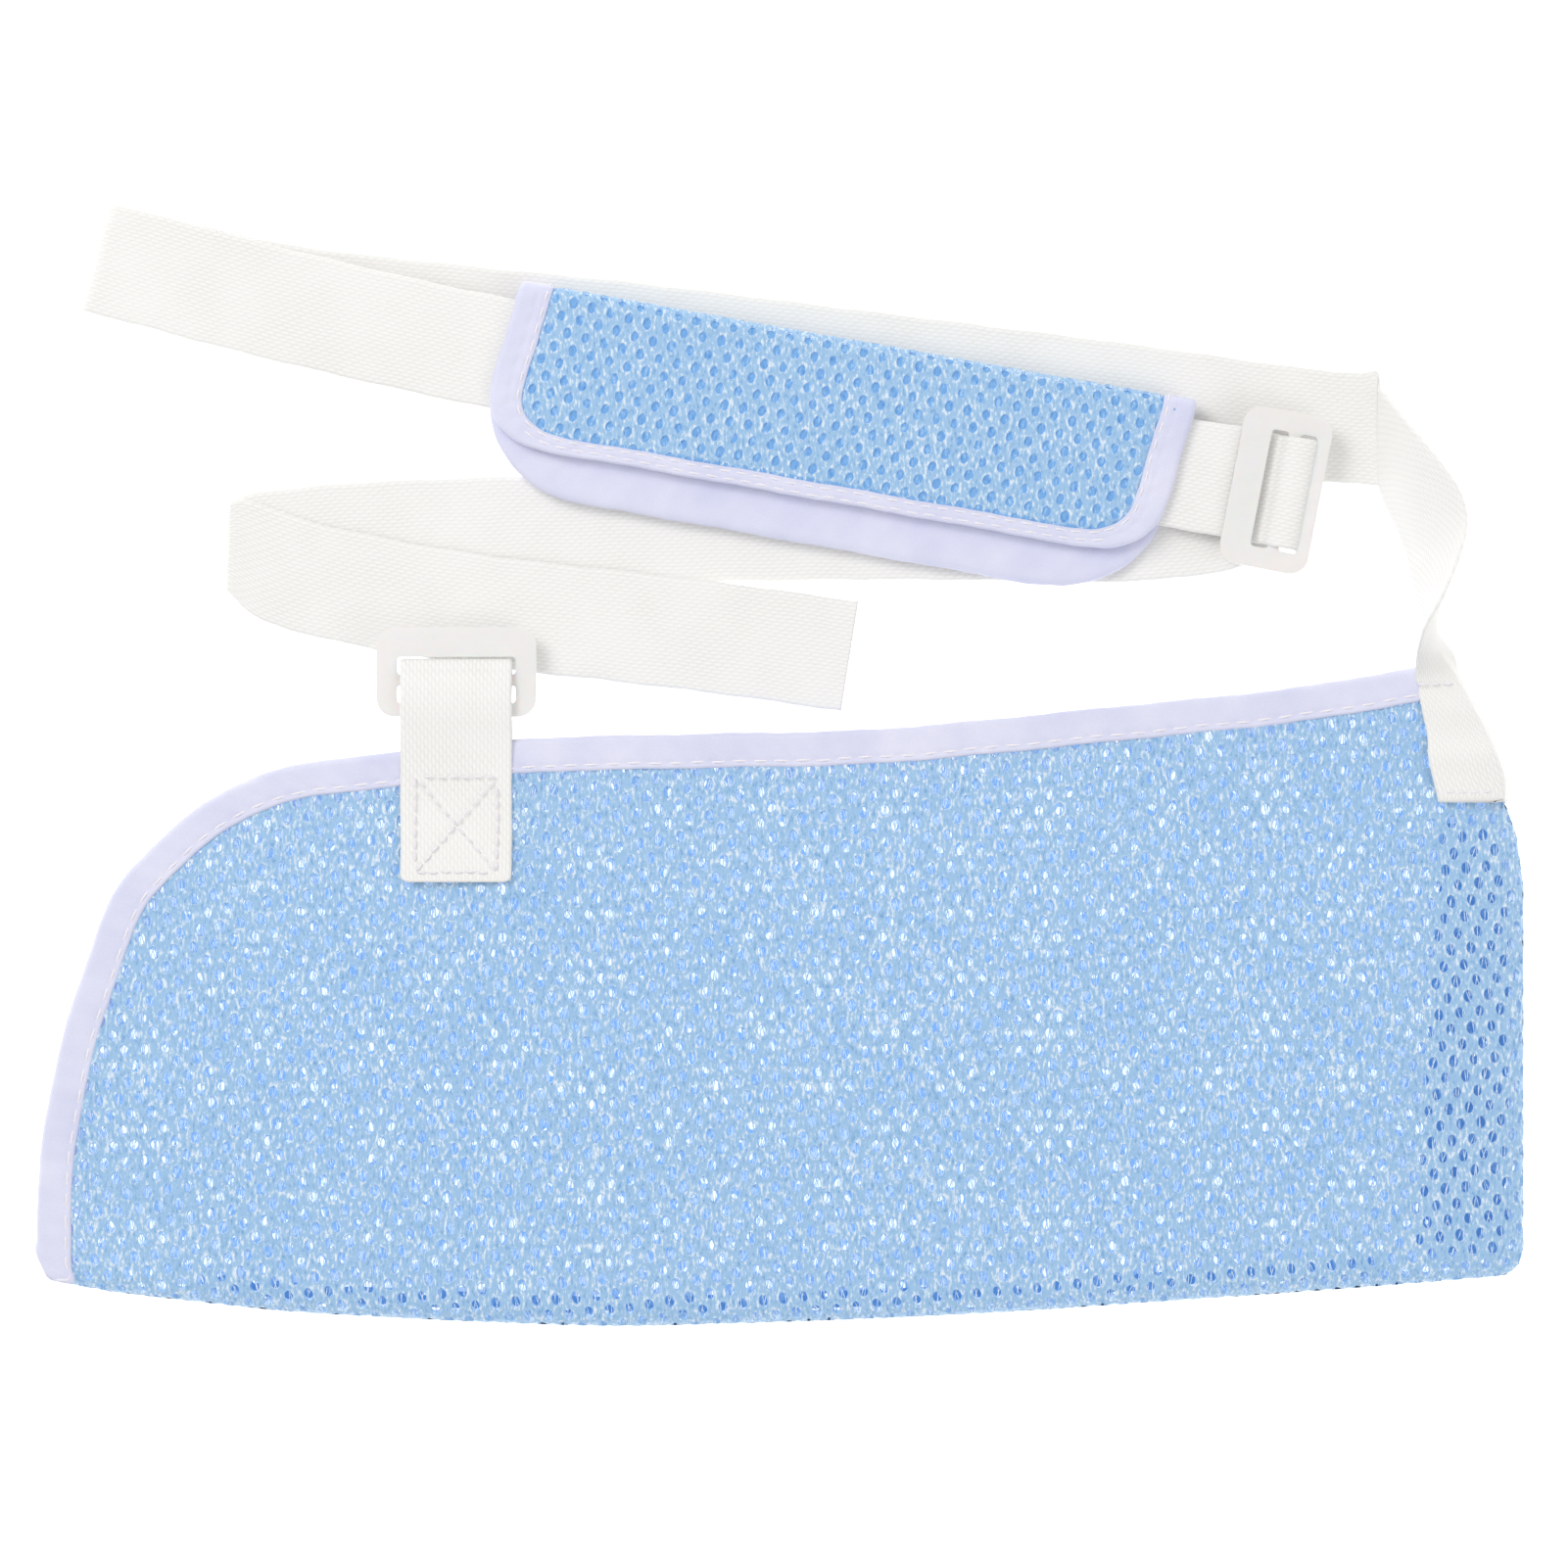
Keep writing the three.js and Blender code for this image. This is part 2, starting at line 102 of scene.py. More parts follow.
STITCH_PITCH = 5.7 * MM
PATCH_STYLE = {"pitch": 3.3 * MM, "length": 2.6 * MM, "radius": 0.3 * MM}
PAD_STYLE = {"pitch": 4.6 * MM, "length": 3.5 * MM, "radius": 0.3 * MM}


# ---- small tools ----
@contextmanager
def editing(obj):
    """An object's mesh, open for a change."""
    made = bmesh.new()
    made.from_mesh(obj.data)
    yield made
    made.to_mesh(obj.data)
    made.free()


def unit(vectors):
    length = np.linalg.norm(vectors, axis=-1, keepdims=True)
    return vectors / np.maximum(length, 1e-12)


def distances(line):
    """Distance along a line at each of its points."""
    steps = np.linalg.norm(np.diff(line, axis=0), axis=1)
    return np.concatenate([[0], np.cumsum(steps)])


def at_shares(line, shares):
    """The points of a line at shares of its length."""
    s = distances(line)
    return np.stack([np.interp(np.asarray(shares) * s[-1], s, axis) for axis in line.T], axis=1)


def waves(along, sizes, seed=0.0):
    """A smooth wander, as a sum of sines of (wavelength, height)."""
    return sum(h * np.sin(2 * math.pi * along / w + 1.7 * k + seed) for k, (w, h) in enumerate(sizes))


def quarter(share, least=0.0):
    """The height of a quarter circle, from 0 at share 0 to 1 at share 1 and beyond."""
    return np.sqrt(np.clip(1 - (1 - np.minimum(share, 1)) ** 2, least, 1))


def normals(grid):
    """The direction out of a grid of points at each of them."""
    return unit(np.cross(np.gradient(grid, axis=0), np.gradient(grid, axis=1)))


def closed(loop):
    return np.vstack([loop, loop[:1]])


def offset(line, distance):
    """A plan line moved sideways, to the left of its direction when distance is positive."""
    ahead = unit(np.gradient(line, axis=0))
    return line + distance * np.stack([-ahead[:, 1], ahead[:, 0]], axis=1)


def inside(polygon, points):
    """Whether each plan point is inside a loop."""
    x, y = points[:, 0], points[:, 1]
    result = np.zeros(len(points), bool)
    for (x0, y0), (x1, y1) in zip(polygon, np.roll(polygon, -1, axis=0)):
        crosses = (y0 > y) != (y1 > y)
        at = x0 + (y - y0) * (x1 - x0) / ((y1 - y0) or 1e-12)
        result ^= crosses & (x < at)
    return result


def nearest(line, points):
    """For each plan point: its nearest point on a line, and its distance, positive on the left."""
    best = np.full(len(points), np.inf)
    foot = np.zeros_like(points)
    side = np.ones(len(points))
    for a, b in zip(line[:-1], line[1:]):
        d = b - a
        t = np.clip((points - a) @ d / (d @ d), 0, 1)
        q = a + t[:, None] * d
        away = np.linalg.norm(points - q, axis=1)
        closer = away < best
        best[closer] = away[closer]
        foot[closer] = q[closer]
        left = d[0] * (points[:, 1] - a[1]) - d[1] * (points[:, 0] - a[0])
        side[closer] = np.where(left[closer] < 0, -1, 1)
    return foot, best * side


def grown(polygon, distance):
    """An anticlockwise loop moved outwards."""
    ring = np.vstack([polygon[-1:], polygon, polygon[:1]])
    ahead = unit(ring[2:] - ring[:-2])
    return polygon + distance * np.stack([ahead[:, 1], -ahead[:, 0]], axis=1)


def within(polygon, points):
    """The points, with those outside a loop moved to the nearest place on it."""
    outside = ~inside(polygon, points)
    moved = points.copy()
    moved[outside] = nearest(closed(polygon), points[outside])[0]
    return moved


def anticlockwise(loop):
    x, y = loop.T
    return loop if x @ np.roll(y, -1) > y @ np.roll(x, -1) else loop[::-1]


def area_of(loop):
    x, y = loop.T
    return abs(x @ np.roll(y, -1) - y @ np.roll(x, -1)) / 2


def add_mesh(name, points, faces, material, **attributes):
    """A smooth mesh. A face of four that repeats its last corner is a triangle, and each attribute is
    one value or vector per point."""
    mesh = bpy.data.meshes.new(name)
    corners = []
    for face in map(list, faces):
        corners.append(face[:3] if len(face) == 4 and face[-1] == face[-2] else face)
    mesh.from_pydata(np.asarray(points).tolist(), [], corners)
    for key, values in attributes.items():
        values = np.asarray(values, np.float32)
        kind, field = ("FLOAT", "value") if values.ndim == 1 else ("FLOAT_VECTOR", "vector")
        mesh.attributes.new(key, kind, "POINT").data.foreach_set(field, values.ravel())
    mesh.materials.append(material)
    obj = bpy.data.objects.new(name, mesh)
    bpy.context.scene.collection.objects.link(obj)
    return smooth(obj)


def smooth(obj):
    obj.data.polygons.foreach_set("use_smooth", [True] * len(obj.data.polygons))
    obj.data.update()
    return obj


def slab(name, quads, top, bottom, material, **attributes):
    """A closed mesh between two layers of matching points that share the same squares."""
    count = len(top)
    edges = np.concatenate([quads[:, [k, (k + 1) % 4]] for k in range(4)]).astype(np.int64)
    forward, backward = edges @ [count, 1], edges @ [1, count]
    a, b = edges[~np.isin(forward, backward)].T
    walls = np.stack([b, a, a + count, b + count], axis=1)
    points = np.concatenate([top, bottom])
    faces = np.concatenate([quads, quads[:, ::-1] + count, walls])
    return add_mesh(name, points, faces, material, **attributes)


# ---- shapes read from the frame ----
def solid(node):
    """A CAD node's corners, each once, and its triangles."""
    mesh = frame["nodes"][node].data
    corners = np.array([v.co for v in mesh.vertices])
    points, index = np.unique(np.round(corners, 6), axis=0, return_inverse=True)
    return points, index.reshape(-1)[np.array([list(p.vertices) for p in mesh.polygons])]


def outline(node):
    """The loop round a CAD plate's top face, in plan, anticlockwise."""
    points, triangles = solid(node)
    top = points[triangles][:, :, 2].min(axis=1) > points[:, 2].max() - 1e-5
    edges = {(a, b) for t in triangles[top].tolist() for a, b in zip(t, t[1:] + t[:1])}
    ahead = {a: b for a, b in edges if (b, a) not in edges}
    loop = [min(ahead)]
    while ahead[loop[-1]] != loop[0]:
        loop.append(ahead[loop[-1]])
    return points[loop, :2]


def band_edges(node):
    """The two long edges of a CAD webbing piece, at the middle of its thickness: (2, n, 3).
    Such a piece is a row of four-cornered rings, each joined only to the next."""
    points, triangles = solid(node)
    near = {}
    for t in triangles.tolist():
        for p in t:
            near.setdefault(p, set()).update(t)
    ends = {p for p in near if len(near[p]) < 7}
    ring = {min(ends)}
    while len(ring) < 4:
        ring = set().union(*(near[p] for p in ring)) & ends
    rings, seen = [], set()
    while ring:
        seen |= ring
        rings.append(points[sorted(ring)])
        ring = set().union(*(near[p] for p in ring)) - seen
    first = rings[0][np.argsort(np.linalg.norm(rings[0] - rings[0][0], axis=1))]
    ordered = [first[[0, 2, 3, 1]]]
    for ring in rings[1:]:
        last = ordered[-1] - ordered[-1].mean(axis=0)
        ways = [ring[list(way)] for way in itertools.permutations(range(4))]
        ordered.append(min(ways, key=lambda way: np.linalg.norm(way - way.mean(axis=0) - last)))
    corners = np.stack(ordered, axis=1)
    return np.stack([corners[[0, 3]].mean(axis=0), corners[[1, 2]].mean(axis=0)])


def through(*nodes):
    """The two edges of webbing that runs through several CAD nodes, end to end."""
    parts = [band_edges(n) for n in nodes]
    line = parts[0]
    if len(parts) > 1:
        ends = parts[1][:, [0, -1]].mean(axis=0)
        gaps = [np.linalg.norm(ends - line[:, k].mean(axis=0), axis=1).min() for k in (0, -1)]
        if gaps[0] < gaps[1]:
            line = line[:, ::-1]
    for part in parts[1:]:
        ways = [part, part[:, ::-1], part[::-1], part[::-1, ::-1]]
        last = line[:, -1]
        part = min(ways, key=lambda way: np.linalg.norm(way[:, 0] - last, axis=1).sum())
        line = np.concatenate([line, part], axis=1)
    return line


def smoothed(line, step):
    """Stations every step along lines (k, n, 3) of matching points, on smooth curves."""
    s = distances(line.mean(axis=0))
    keep = np.concatenate([[True], np.diff(s) > 0.2 * MM])
    line, s = line[:, keep], s[keep]
    slopes = np.diff(line, axis=1) / np.diff(s)[None, :, None]
    h = np.diff(s)[None, :, None]
    inner = (slopes[:, :-1] * h[:, 1:] + slopes[:, 1:] * h[:, :-1]) / (h[:, 1:] + h[:, :-1])
    tangents = np.concatenate([slopes[:, :1], inner, slopes[:, -1:]], axis=1)
    at = np.linspace(0, s[-1], max(2, round(s[-1] / step)) + 1)
    i = np.clip(np.searchsorted(s, at, side="right") - 1, 0, len(s) - 2)
    span = (s[i + 1] - s[i])[None, :, None]
    t = ((at - s[i]) / (s[i + 1] - s[i]))[None, :, None]
    start, end = line[:, i], line[:, i + 1]
    leave, arrive = tangents[:, i] * span, tangents[:, i + 1] * span
    return (
        (2 * t**3 - 3 * t**2 + 1) * start
        + (t**3 - 2 * t**2 + t) * leave
        + (3 * t**2 - 2 * t**3) * end
        + (t**3 - t**2) * arrive
    )


# ---- materials ----
class Shader:
    """A material's node tree, with short calls to add and link nodes."""

    def __init__(self, name, **values):
        self.material = bpy.data.materials.new(name)
        self.material.use_nodes = True
        self.tree = self.material.node_tree
        self.surface = self.tree.nodes["Principled BSDF"]
        for key, value in values.items():
            socket = key.replace("_", " ").title().replace("Ior", "IOR")
            self.surface.inputs[socket].default_value = value

    def node(self, kind, inputs=(), **settings):
        made = self.tree.nodes.new(kind)
        for key, value in settings.items():
            setattr(made, key, value)
        for key, value in dict(inputs).items():
            if isinstance(value, bpy.types.NodeSocket):
                self.tree.links.new(value, made.inputs[key])
            else:
                made.inputs[key].default_value = value
        return made

    def place(self):
        return self.node("ShaderNodeTexCoord").outputs["Object"]

    def attribute(self, name, output="Fac"):
        return self.node("ShaderNodeAttribute", attribute_name=name).outputs[output]

    def noise(self, vector, scale, detail=3.0, roughness=0.6):
        inputs = {"Vector": vector, "Scale": scale, "Detail": detail, "Roughness": roughness}
        return self.node("ShaderNodeTexNoise", inputs).outputs["Fac"]

    def stretched(self, vector, scale):
        inputs = {"Vector": vector, "Scale": scale}
        return self.node("ShaderNodeMapping", inputs, vector_type="POINT").outputs["Vector"]

    def maths(self, operation, *values):
        return self.node("ShaderNodeMath", dict(enumerate(values)), operation=operation).outputs[0]

    def ramp(self, factor, stops):
        made = self.node("ShaderNodeValToRGB", {"Fac": factor})
        elements = made.color_ramp.elements
        while len(elements) < len(stops):
            elements.new(0.5)
        for element, (position, colour) in zip(elements, stops):
            element.position = position
            element.color = colour
        return made.outputs["Color"]

    def finish(self, colour=None, bump=None, strength=0.4, distance=0.2 * MM, roughness=None):
        links = self.tree.links
        if colour is not None:
            links.new(colour, self.surface.inputs["Base Color"])
        if roughness is not None:
            links.new(roughness, self.surface.inputs["Roughness"])
        if bump is not None:
            inputs = {"Height": bump, "Strength": strength, "Distance": distance}
            made = self.node("ShaderNodeBump", inputs)
            links.new(made.outputs["Normal"], self.surface.inputs["Normal"])
        return self.material


def rgb(red, green, blue):
    """A colour given in display values from 0 to 255, as the linear colour that shaders use."""
    linear = [((c / 255 + 0.055) / 1.055) ** 2.4 if c > 10 else c / 3295 for c in (red, green, blue)]
    return (*linear, 1.0)


def knit_material(name, deep, base, pale, glow):
    """Knitted mesh: paler round each hole, with filament streaks. The faces turned to the inside are
    painted paler and given a faint emission glow: painted light for the light that soaks through the
    yarns."""
    s = Shader(name, roughness=0.55, sheen_weight=0.25, sheen_roughness=0.4)
    place = s.place()
    streaks = s.noise(s.stretched(place, (1250.0, 480.0, 900.0)), 1.0, 2.0, 0.6)
    patches = s.noise(place, 45.0, 2.0)
    inner = s.attribute("inner")
    tone = s.maths("MULTIPLY_ADD", streaks, 1.5, s.maths("MULTIPLY_ADD", patches, 0.1, -0.31))
    # painted light: the faces turned to the inside are painted paler by their "inner" value
    tone = s.maths("MULTIPLY_ADD", inner, 0.18, tone)
    level = s.maths("MULTIPLY_ADD", s.attribute("rim"), 0.12, tone)
    colour = s.ramp(level, [(0.2, deep), (0.42, base), (0.58, base), (0.82, pale)])
    # painted light: the faces turned to the inside glow in their own colour, at glow times "inner"
    s.tree.links.new(colour, s.surface.inputs["Emission Color"])
    lit = s.maths("MULTIPLY", inner, glow)
    s.tree.links.new(lit, s.surface.inputs["Emission Strength"])
    return s.finish(colour, streaks, 0.55, 0.25 * MM)


def tape_material():
    """Binding tape: soft satin-faced polyester with a very fine grain."""
    s = Shader("binding_tape", roughness=0.6, sheen_weight=0.3, sheen_roughness=0.5)
    place = s.place()
    grain = s.noise(s.stretched(place, (2600.0, 2600.0, 2600.0)), 1.0, 2.0)
    patches = s.noise(place, 60.0, 2.0)
    tone = s.maths("MULTIPLY_ADD", grain, 0.35, s.maths("MULTIPLY", patches, 0.65))
    colour = s.ramp(tone, [(0.3, rgb(214, 216, 242)), (0.7, rgb(232, 232, 249))])
    return s.finish(colour, grain, 0.25, 0.1 * MM)


def webbing_material():
    """Woven polypropylene: ivory yarns of fine filaments that lie along the strap."""
    s = Shader("webbing", roughness=0.7, sheen_weight=0.15)
    weave = s.attribute("weave", "Vector")
    fibres = s.noise(s.stretched(weave, (700.0, 5200.0, 1.0)), 1.0, 3.0, 0.7)
    patches = s.noise(s.place(), 50.0, 2.0)
    # painted shade and painted highlight: the weave's valleys are painted darker and its crests paler,
    # from the "crest" height
    crest = s.attribute("crest")
    tone = s.maths("MULTIPLY_ADD", fibres, 0.3, s.maths("MULTIPLY", patches, 0.2))
    level = s.maths("MULTIPLY_ADD", crest, 0.5, tone)
    shade, yarn, shine = rgb(224, 221, 216), rgb(247, 246, 243), rgb(254, 253, 252)
    colour = s.ramp(level, [(0.1, shade), (0.42, yarn), (0.8, shine)])
    return s.finish(colour, fibres, 0.35, 0.12 * MM)


def thread_material():
    """Sewing thread: glossy, near white, with its twist as a fine grain."""
    s = Shader("thread", roughness=0.45, sheen_weight=0.2)
    twist = s.noise(s.stretched(s.place(), (1800.0, 1800.0, 1800.0)), 1.0, 2.0)
    colour = s.ramp(twist, [(0.3, rgb(243, 238, 246)), (0.7, rgb(252, 250, 253))])
    return s.finish(colour, twist, 0.4, 0.1 * MM)


def plastic_material():
    """Natural nylon: milky and slightly see-through, with a moulded satin surface."""
    s = Shader(
        "slider_plastic",
        roughness=0.34,
        subsurface_weight=0.35,
        subsurface_scale=1.5 * MM,
        transmission_weight=0.12,
        ior=1.5,
    )
    place = s.place()
    cloud = s.noise(place, 120.0, 2.0)
    grain = s.noise(place, 2400.0, 2.0)
    colour = s.ramp(cloud, [(0.3, rgb(251, 250, 247)), (0.7, rgb(254, 254, 252))])
    rough = s.node("ShaderNodeMapRange", {"Value": grain, "To Min": 0.26, "To Max": 0.44}).outputs[0]
    return s.finish(colour, grain, 0.12, 0.05 * MM, rough)


def floor_material():
    """A white light table, so that the floor stays white where the mesh lets it show."""
    s = Shader("floor", roughness=0.9, emission_strength=0.62)
    s.surface.inputs["Emission Color"].default_value = (1, 1, 1, 1)
    cloud = s.noise(s.place(), 3.0, 2.0)
    return s.finish(s.ramp(cloud, [(0.3, rgb(250, 250, 250)), (0.7, rgb(254, 254, 254))]))


PALE_BLUE = rgb(230, 242, 253)
MID_BLUE = rgb(164, 202, 236)
# painted light: the back panel's knit is a slightly paler copy of the front's, and it glows a little
# more
MESH_FRONT = knit_material("mesh_front", rgb(125, 172, 218), rgb(160, 199, 235), PALE_BLUE, 0.2)
MESH_BACK = knit_material("mesh_back", rgb(132, 178, 223), rgb(166, 204, 238), PALE_BLUE, 0.24)
# painted shade: cloth that lies under another layer is a darker copy of the same knit; the stronger
# glow on its inner faces is painted light
MESH_UNDER_SHADED = knit_material("mesh_under_shaded", rgb(88, 144, 206), rgb(116, 168, 219), MID_BLUE, 0.35)
TAPE = tape_material()
WEBBING = webbing_material()
THREAD = thread_material()
PLASTIC = plastic_material()


# ---- camera, floor and light ----
VIEW_WIDTH = 423.6 * MM
VIEW_CENTRE = (0.9 * MM, -5.4 * MM)
CAMERA_HEIGHT = 2.4
SENSOR = 36
FLOOR_HALF = 3.0
FLOOR_DEPTH = 0.2 * MM  # the floor lies this much below the cloth
WORLD_LIGHT = 0.64
# Each lamp's name, place, size and power.
LAMPS = [("key", (-0.9, 0.9, 1.5), 0.9, 13.5), ("fill", (1.2, -0.6, 1.3), 1.2, 5.0)]


def studio():
    """A long lens straight down, a white floor, an even sky and two soft lamps."""
    data = bpy.data.cameras.new("camera")
    data.sensor_width = SENSOR
    data.lens = data.sensor_width * CAMERA_HEIGHT / VIEW_WIDTH
    camera = bpy.data.objects.new("camera", data)
    camera.location = (*VIEW_CENTRE, CAMERA_HEIGHT)
    bpy.context.scene.collection.objects.link(camera)
    bpy.context.scene.camera = camera

    signs = ((-1, -1), (1, -1), (1, 1), (-1, 1))
    corners = [(x * FLOOR_HALF, y * FLOOR_HALF, 0) for x, y in signs]
    floor = add_mesh("floor", corners, [(0, 1, 2, 3)], floor_material())
    floor.location.z = -FLOOR_DEPTH

    world = bpy.data.worlds.new("studio")
    world.use_nodes = True
    sky = world.node_tree.nodes["Background"]
    sky.inputs["Color"].default_value = (1.0, 1.0, 1.0, 1)
    sky.inputs["Strength"].default_value = WORLD_LIGHT
    bpy.context.scene.world = world
    for name, place, size, power in LAMPS:
        lamp = bpy.data.lights.new(name, "AREA")
        lamp.size = size
        lamp.energy = power
        holder = bpy.data.objects.new(name, lamp)
        holder.location = place
        x, y, z = place
        holder.rotation_euler = (math.atan2(math.hypot(x, y), z), 0, math.atan2(x, -y))
        bpy.context.scene.collection.objects.link(holder)
    bpy.context.scene.view_settings.view_transform = "Standard"


# ---- spacer mesh ----
def net(name, pitch, rows, degrees, hole, domain, place, material, thick, seed=0.0, glow=(0.0, 1.0)):
    """A mesh of staggered oval holes. Each hole's ring of cloth fills its six-sided cell, and cells
    share their borders. place(plan, depth) carries flat cloth, and depth below its face, to its shape.
    glow is the attribute "inner" of its face and of its back. Returns the piece, the holes' middles on
    the flat cloth and the size of each."""
    c, r = pitch, rows
    turn = math.radians(degrees)
    spin = np.array([[math.cos(turn), math.sin(turn)], [-math.sin(turn), math.cos(turn)]])
    middle = domain.mean(axis=0)
    reach = np.linalg.norm(domain - middle, axis=1).max()
    j, i = np.mgrid[-int(reach / r) - 1:int(reach / r) + 2, -int(reach / c) - 1:int(reach / c) + 2]
    centres = np.stack([(i + (j % 2) / 2).ravel() * c, j.ravel() * r], axis=1)
    centres = centres[inside(grown(domain, BORDER_SPARE), wandering(centres @ spin + middle, seed))]

    low, high = r / 2 - c * c / (8 * r), r / 2 + c * c / (8 * r)
    right = [(c / 2, -low), (c / 2, low), (0, high)]
    corners = np.array(right + [(-x, -y) for x, y in right])
    border = np.stack([corners, (corners + np.roll(corners, -1, axis=0)) / 2], axis=1).reshape(-1, 2)
    angle = np.arctan2(border[:, 1] / high, border[:, 0] / (c / 2))
    ring = np.stack([hole[0] * np.cos(angle), hole[1] * np.sin(angle)], axis=1)

    count, sides = len(centres), len(border)
    edge_points = (centres[:, None] + border).reshape(-1, 2)
    _, first, index = np.unique(
        np.round(edge_points / (0.1 * MM * MM)), axis=0, return_index=True, return_inverse=True
    )
    index = index.reshape(count, sides)
    edge_points = edge_points[first]
    on_cloth = wandering(centres @ spin + middle, seed)
    size = 1 + HOLE_CHANGE * np.sin(centres @ [317, 533] + seed)
    from_border = nearest(closed(domain), on_cloth)[1]
    size *= np.clip(from_border / HOLE_CLOSING, HOLE_LEAST, 1)
    holes = centres[:, None] + ring * size[:, None, None]
    lower_holes = centres[:, None] + ring * (BACK_HOLE * size)[:, None, None]
    hole_index = len(edge_points) + np.arange(count * sides).reshape(count, sides)

    top = np.concatenate([edge_points, holes.reshape(-1, 2)])
    bottom = np.concatenate([edge_points, lower_holes.reshape(-1, 2)])
    total = len(top)
    quads = np.stack([index, np.roll(index, -1, 1), np.roll(hole_index, -1, 1), hole_index], axis=2)
    quads = quads.reshape(-1, 4)
    rim = np.concatenate([np.zeros(len(edge_points)), np.ones(count * sides)])
    drop = np.where(rim > 0, 0.0, RIM_DROP)
    skins = []
    for layer, depth in ((top, drop), (bottom, thick - drop * 0.5)):
        flat = within(domain, wandering(layer @ spin + middle, seed))
        skins.append(place(flat, depth))
    both = np.concatenate([rim, np.zeros(total)])
    piece = slab(name, quads, *skins, material, rim=both, inner=np.repeat(glow, total))
    tidy(piece)
    return piece, on_cloth, size


def wandering(points, seed):
    """Plan points moved by slow waves, as cloth is never quite square."""
    x, y = points.T
    moved = [waves(y, SIDEWAYS_WAVES, seed), waves(x, UPWARDS_WAVES, seed + 1)]
    return points + np.column_stack(moved) * MM


def tidy(piece):
    """Welds corners that a fold has brought together, drops faces with no area and keeps creases."""
    with editing(piece) as made:
        bmesh.ops.dissolve_degenerate(made, dist=0.01 * MM, edges=made.edges)
    piece.data.set_sharp_from_angle(angle=math.radians(75))


def strands(name, centres, sizes, hole, place, depth, material, seed):
    """Spacer filaments: two fine threads that cross behind each hole."""
    random = np.random.default_rng(seed)
    per_hole, radius, spread = 2, 0.16 * MM, 0.2 * MM
    middles = np.repeat(centres, per_hole, axis=0)
    count = len(middles)
    slant = random.uniform(-0.75, 0.75, (count, 2)) * hole[0]
    reach = np.repeat(sizes, per_hole) * hole[1] * 1.05
    deep = depth + random.uniform(-1, 1, (count, 2)) * spread
    corner = np.arange(3) * 2 * math.pi / 3
    x = (middles[:, :1] + slant)[:, :, None] + radius * np.cos(corner)
    y = (middles[:, 1:] + reach[:, None] * [-1, 1])[:, :, None] + 0 * corner
    flat = np.stack([x, y], axis=3).reshape(-1, 2)
    points = place(flat, (deep[:, :, None] + radius * np.sin(corner)).ravel())
    prism = np.array([[0, 1, 4, 3], [1, 2, 5, 4], [2, 0, 3, 5], [2, 1, 0, 0], [3, 4, 5, 5]])
    faces = (np.arange(count) * 6)[:, None, None] + prism
    # painted light: with "inner" at 1 the filaments are painted paler and glow at their material's full
    # glow
    attributes = {"rim": np.full(len(points), 0.7), "inner": np.ones(len(points))}
    return add_mesh(name, points, faces.reshape(-1, 4), material, **attributes)


# ---- pouch ----
def hull(points):
    """The outline that goes round all the points, anticlockwise."""
    points = sorted(set(map(tuple, np.round(points, 6))))

    def half(ordered):
        chain = []
        for x, y in ordered:
            while len(chain) > 1:
                (x0, y0), (x1, y1) = chain[-2:]
                if (x1 - x0) * (y - y0) - (y1 - y0) * (x - x0) > 0:
                    break
                chain.pop()
            chain.append((x, y))
        return chain[:-1]

    return np.array(half(points) + half(points[::-1]))


def binding_sides(node):
    """The outer and inner edges of a binding, both from the hand corner to the elbow."""
    loop = outline(node)[::-1]
    loop = np.roll(loop, -np.argmin(loop.sum(axis=1)), axis=0)
    turn = np.argmax(loop[:, 1]) + 1
    return loop[:turn], loop[turn:][::-1]


def closed_edge():
    """The bottom fold and the elbow end, from the hand corner round to the strap's anchor."""
    nodes = ("pouch_bottom_fold", "pouch_elbow_end", "pouch_front_panel", "front_binding")
    loop = hull(np.concatenate([outline(n) for n in nodes]))
    start = np.argmin(loop.sum(axis=1))
    loop = np.roll(loop, -start, axis=0)
    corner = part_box("front_binding")[1]
    end = np.argmin(np.linalg.norm(loop - np.array([corner.x, corner.y]), axis=1))
    return loop[: end + 1]


EDGE = closed_edge()


def pouch_surface(side):
    """A panel's shape: flat, then curving to the other panel near the closed edges."""

    def place(flat, depth):
        foot, away = nearest(EDGE, flat)
        inward = unit(flat - foot) * np.where(away < 0, -1, 1)[:, None]
        turn = np.clip((away + FOLD_SPARE) / FOLD_ARC, 0, 1) * math.pi / 2
        curved = foot + inward * (FOLD_REACH * (1 - np.cos(turn)))[:, None]
        bent = (turn < math.pi / 2)[:, None]
        plan = np.where(bent, curved, flat)
        lean = unit(np.stack([POUCH_RISE * np.cos(turn), FOLD_REACH * np.sin(turn)], axis=1))
        plan = plan + inward * np.where(bent, lean[:, :1] * depth[:, None], 0)
        swell = waves(flat[:, 0] + 0.4 * flat[:, 1], POUCH_SWELL, side)
        height = (POUCH_RISE + swell) * np.sin(turn) - depth * lean[:, 1]
        return np.column_stack([plan, POUCH_MIDDLE + side * height])

    return place


def pouch_domain(binding):
    """A panel's flat cloth: from under its binding to the middle of the fold."""
    outer, inner = binding_sides(binding)
    share = np.linspace(0, 1, 60)
    under_tape = at_shares(outer, share) * 0.35 + at_shares(inner, share) * 0.65
    closed = offset(EDGE, -FOLD_SPARE - 0.4 * MM)
    return anticlockwise(np.concatenate([closed, under_tape[::-1]]))


def bend_with_flap(piece):
    """Reads the flap's hinge, which goes unused, and bakes the piece's placing into its mesh."""
    hinge = next(j for j in frame["joints"] if j["name"] == "flap_opens")
    axis, at = np.array(hinge["axis"]), np.array(hinge["pos_m"])
    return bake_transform(piece)


def cloth(piece, domain, held, rests_on, with_pieces=()):
    """Works out the flat size and area of the loop that a piece is cut to, and keeps neither."""
    size, area = tuple(np.ptp(domain, axis=0)), area_of(domain)
    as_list(rests_on)
    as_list(with_pieces)


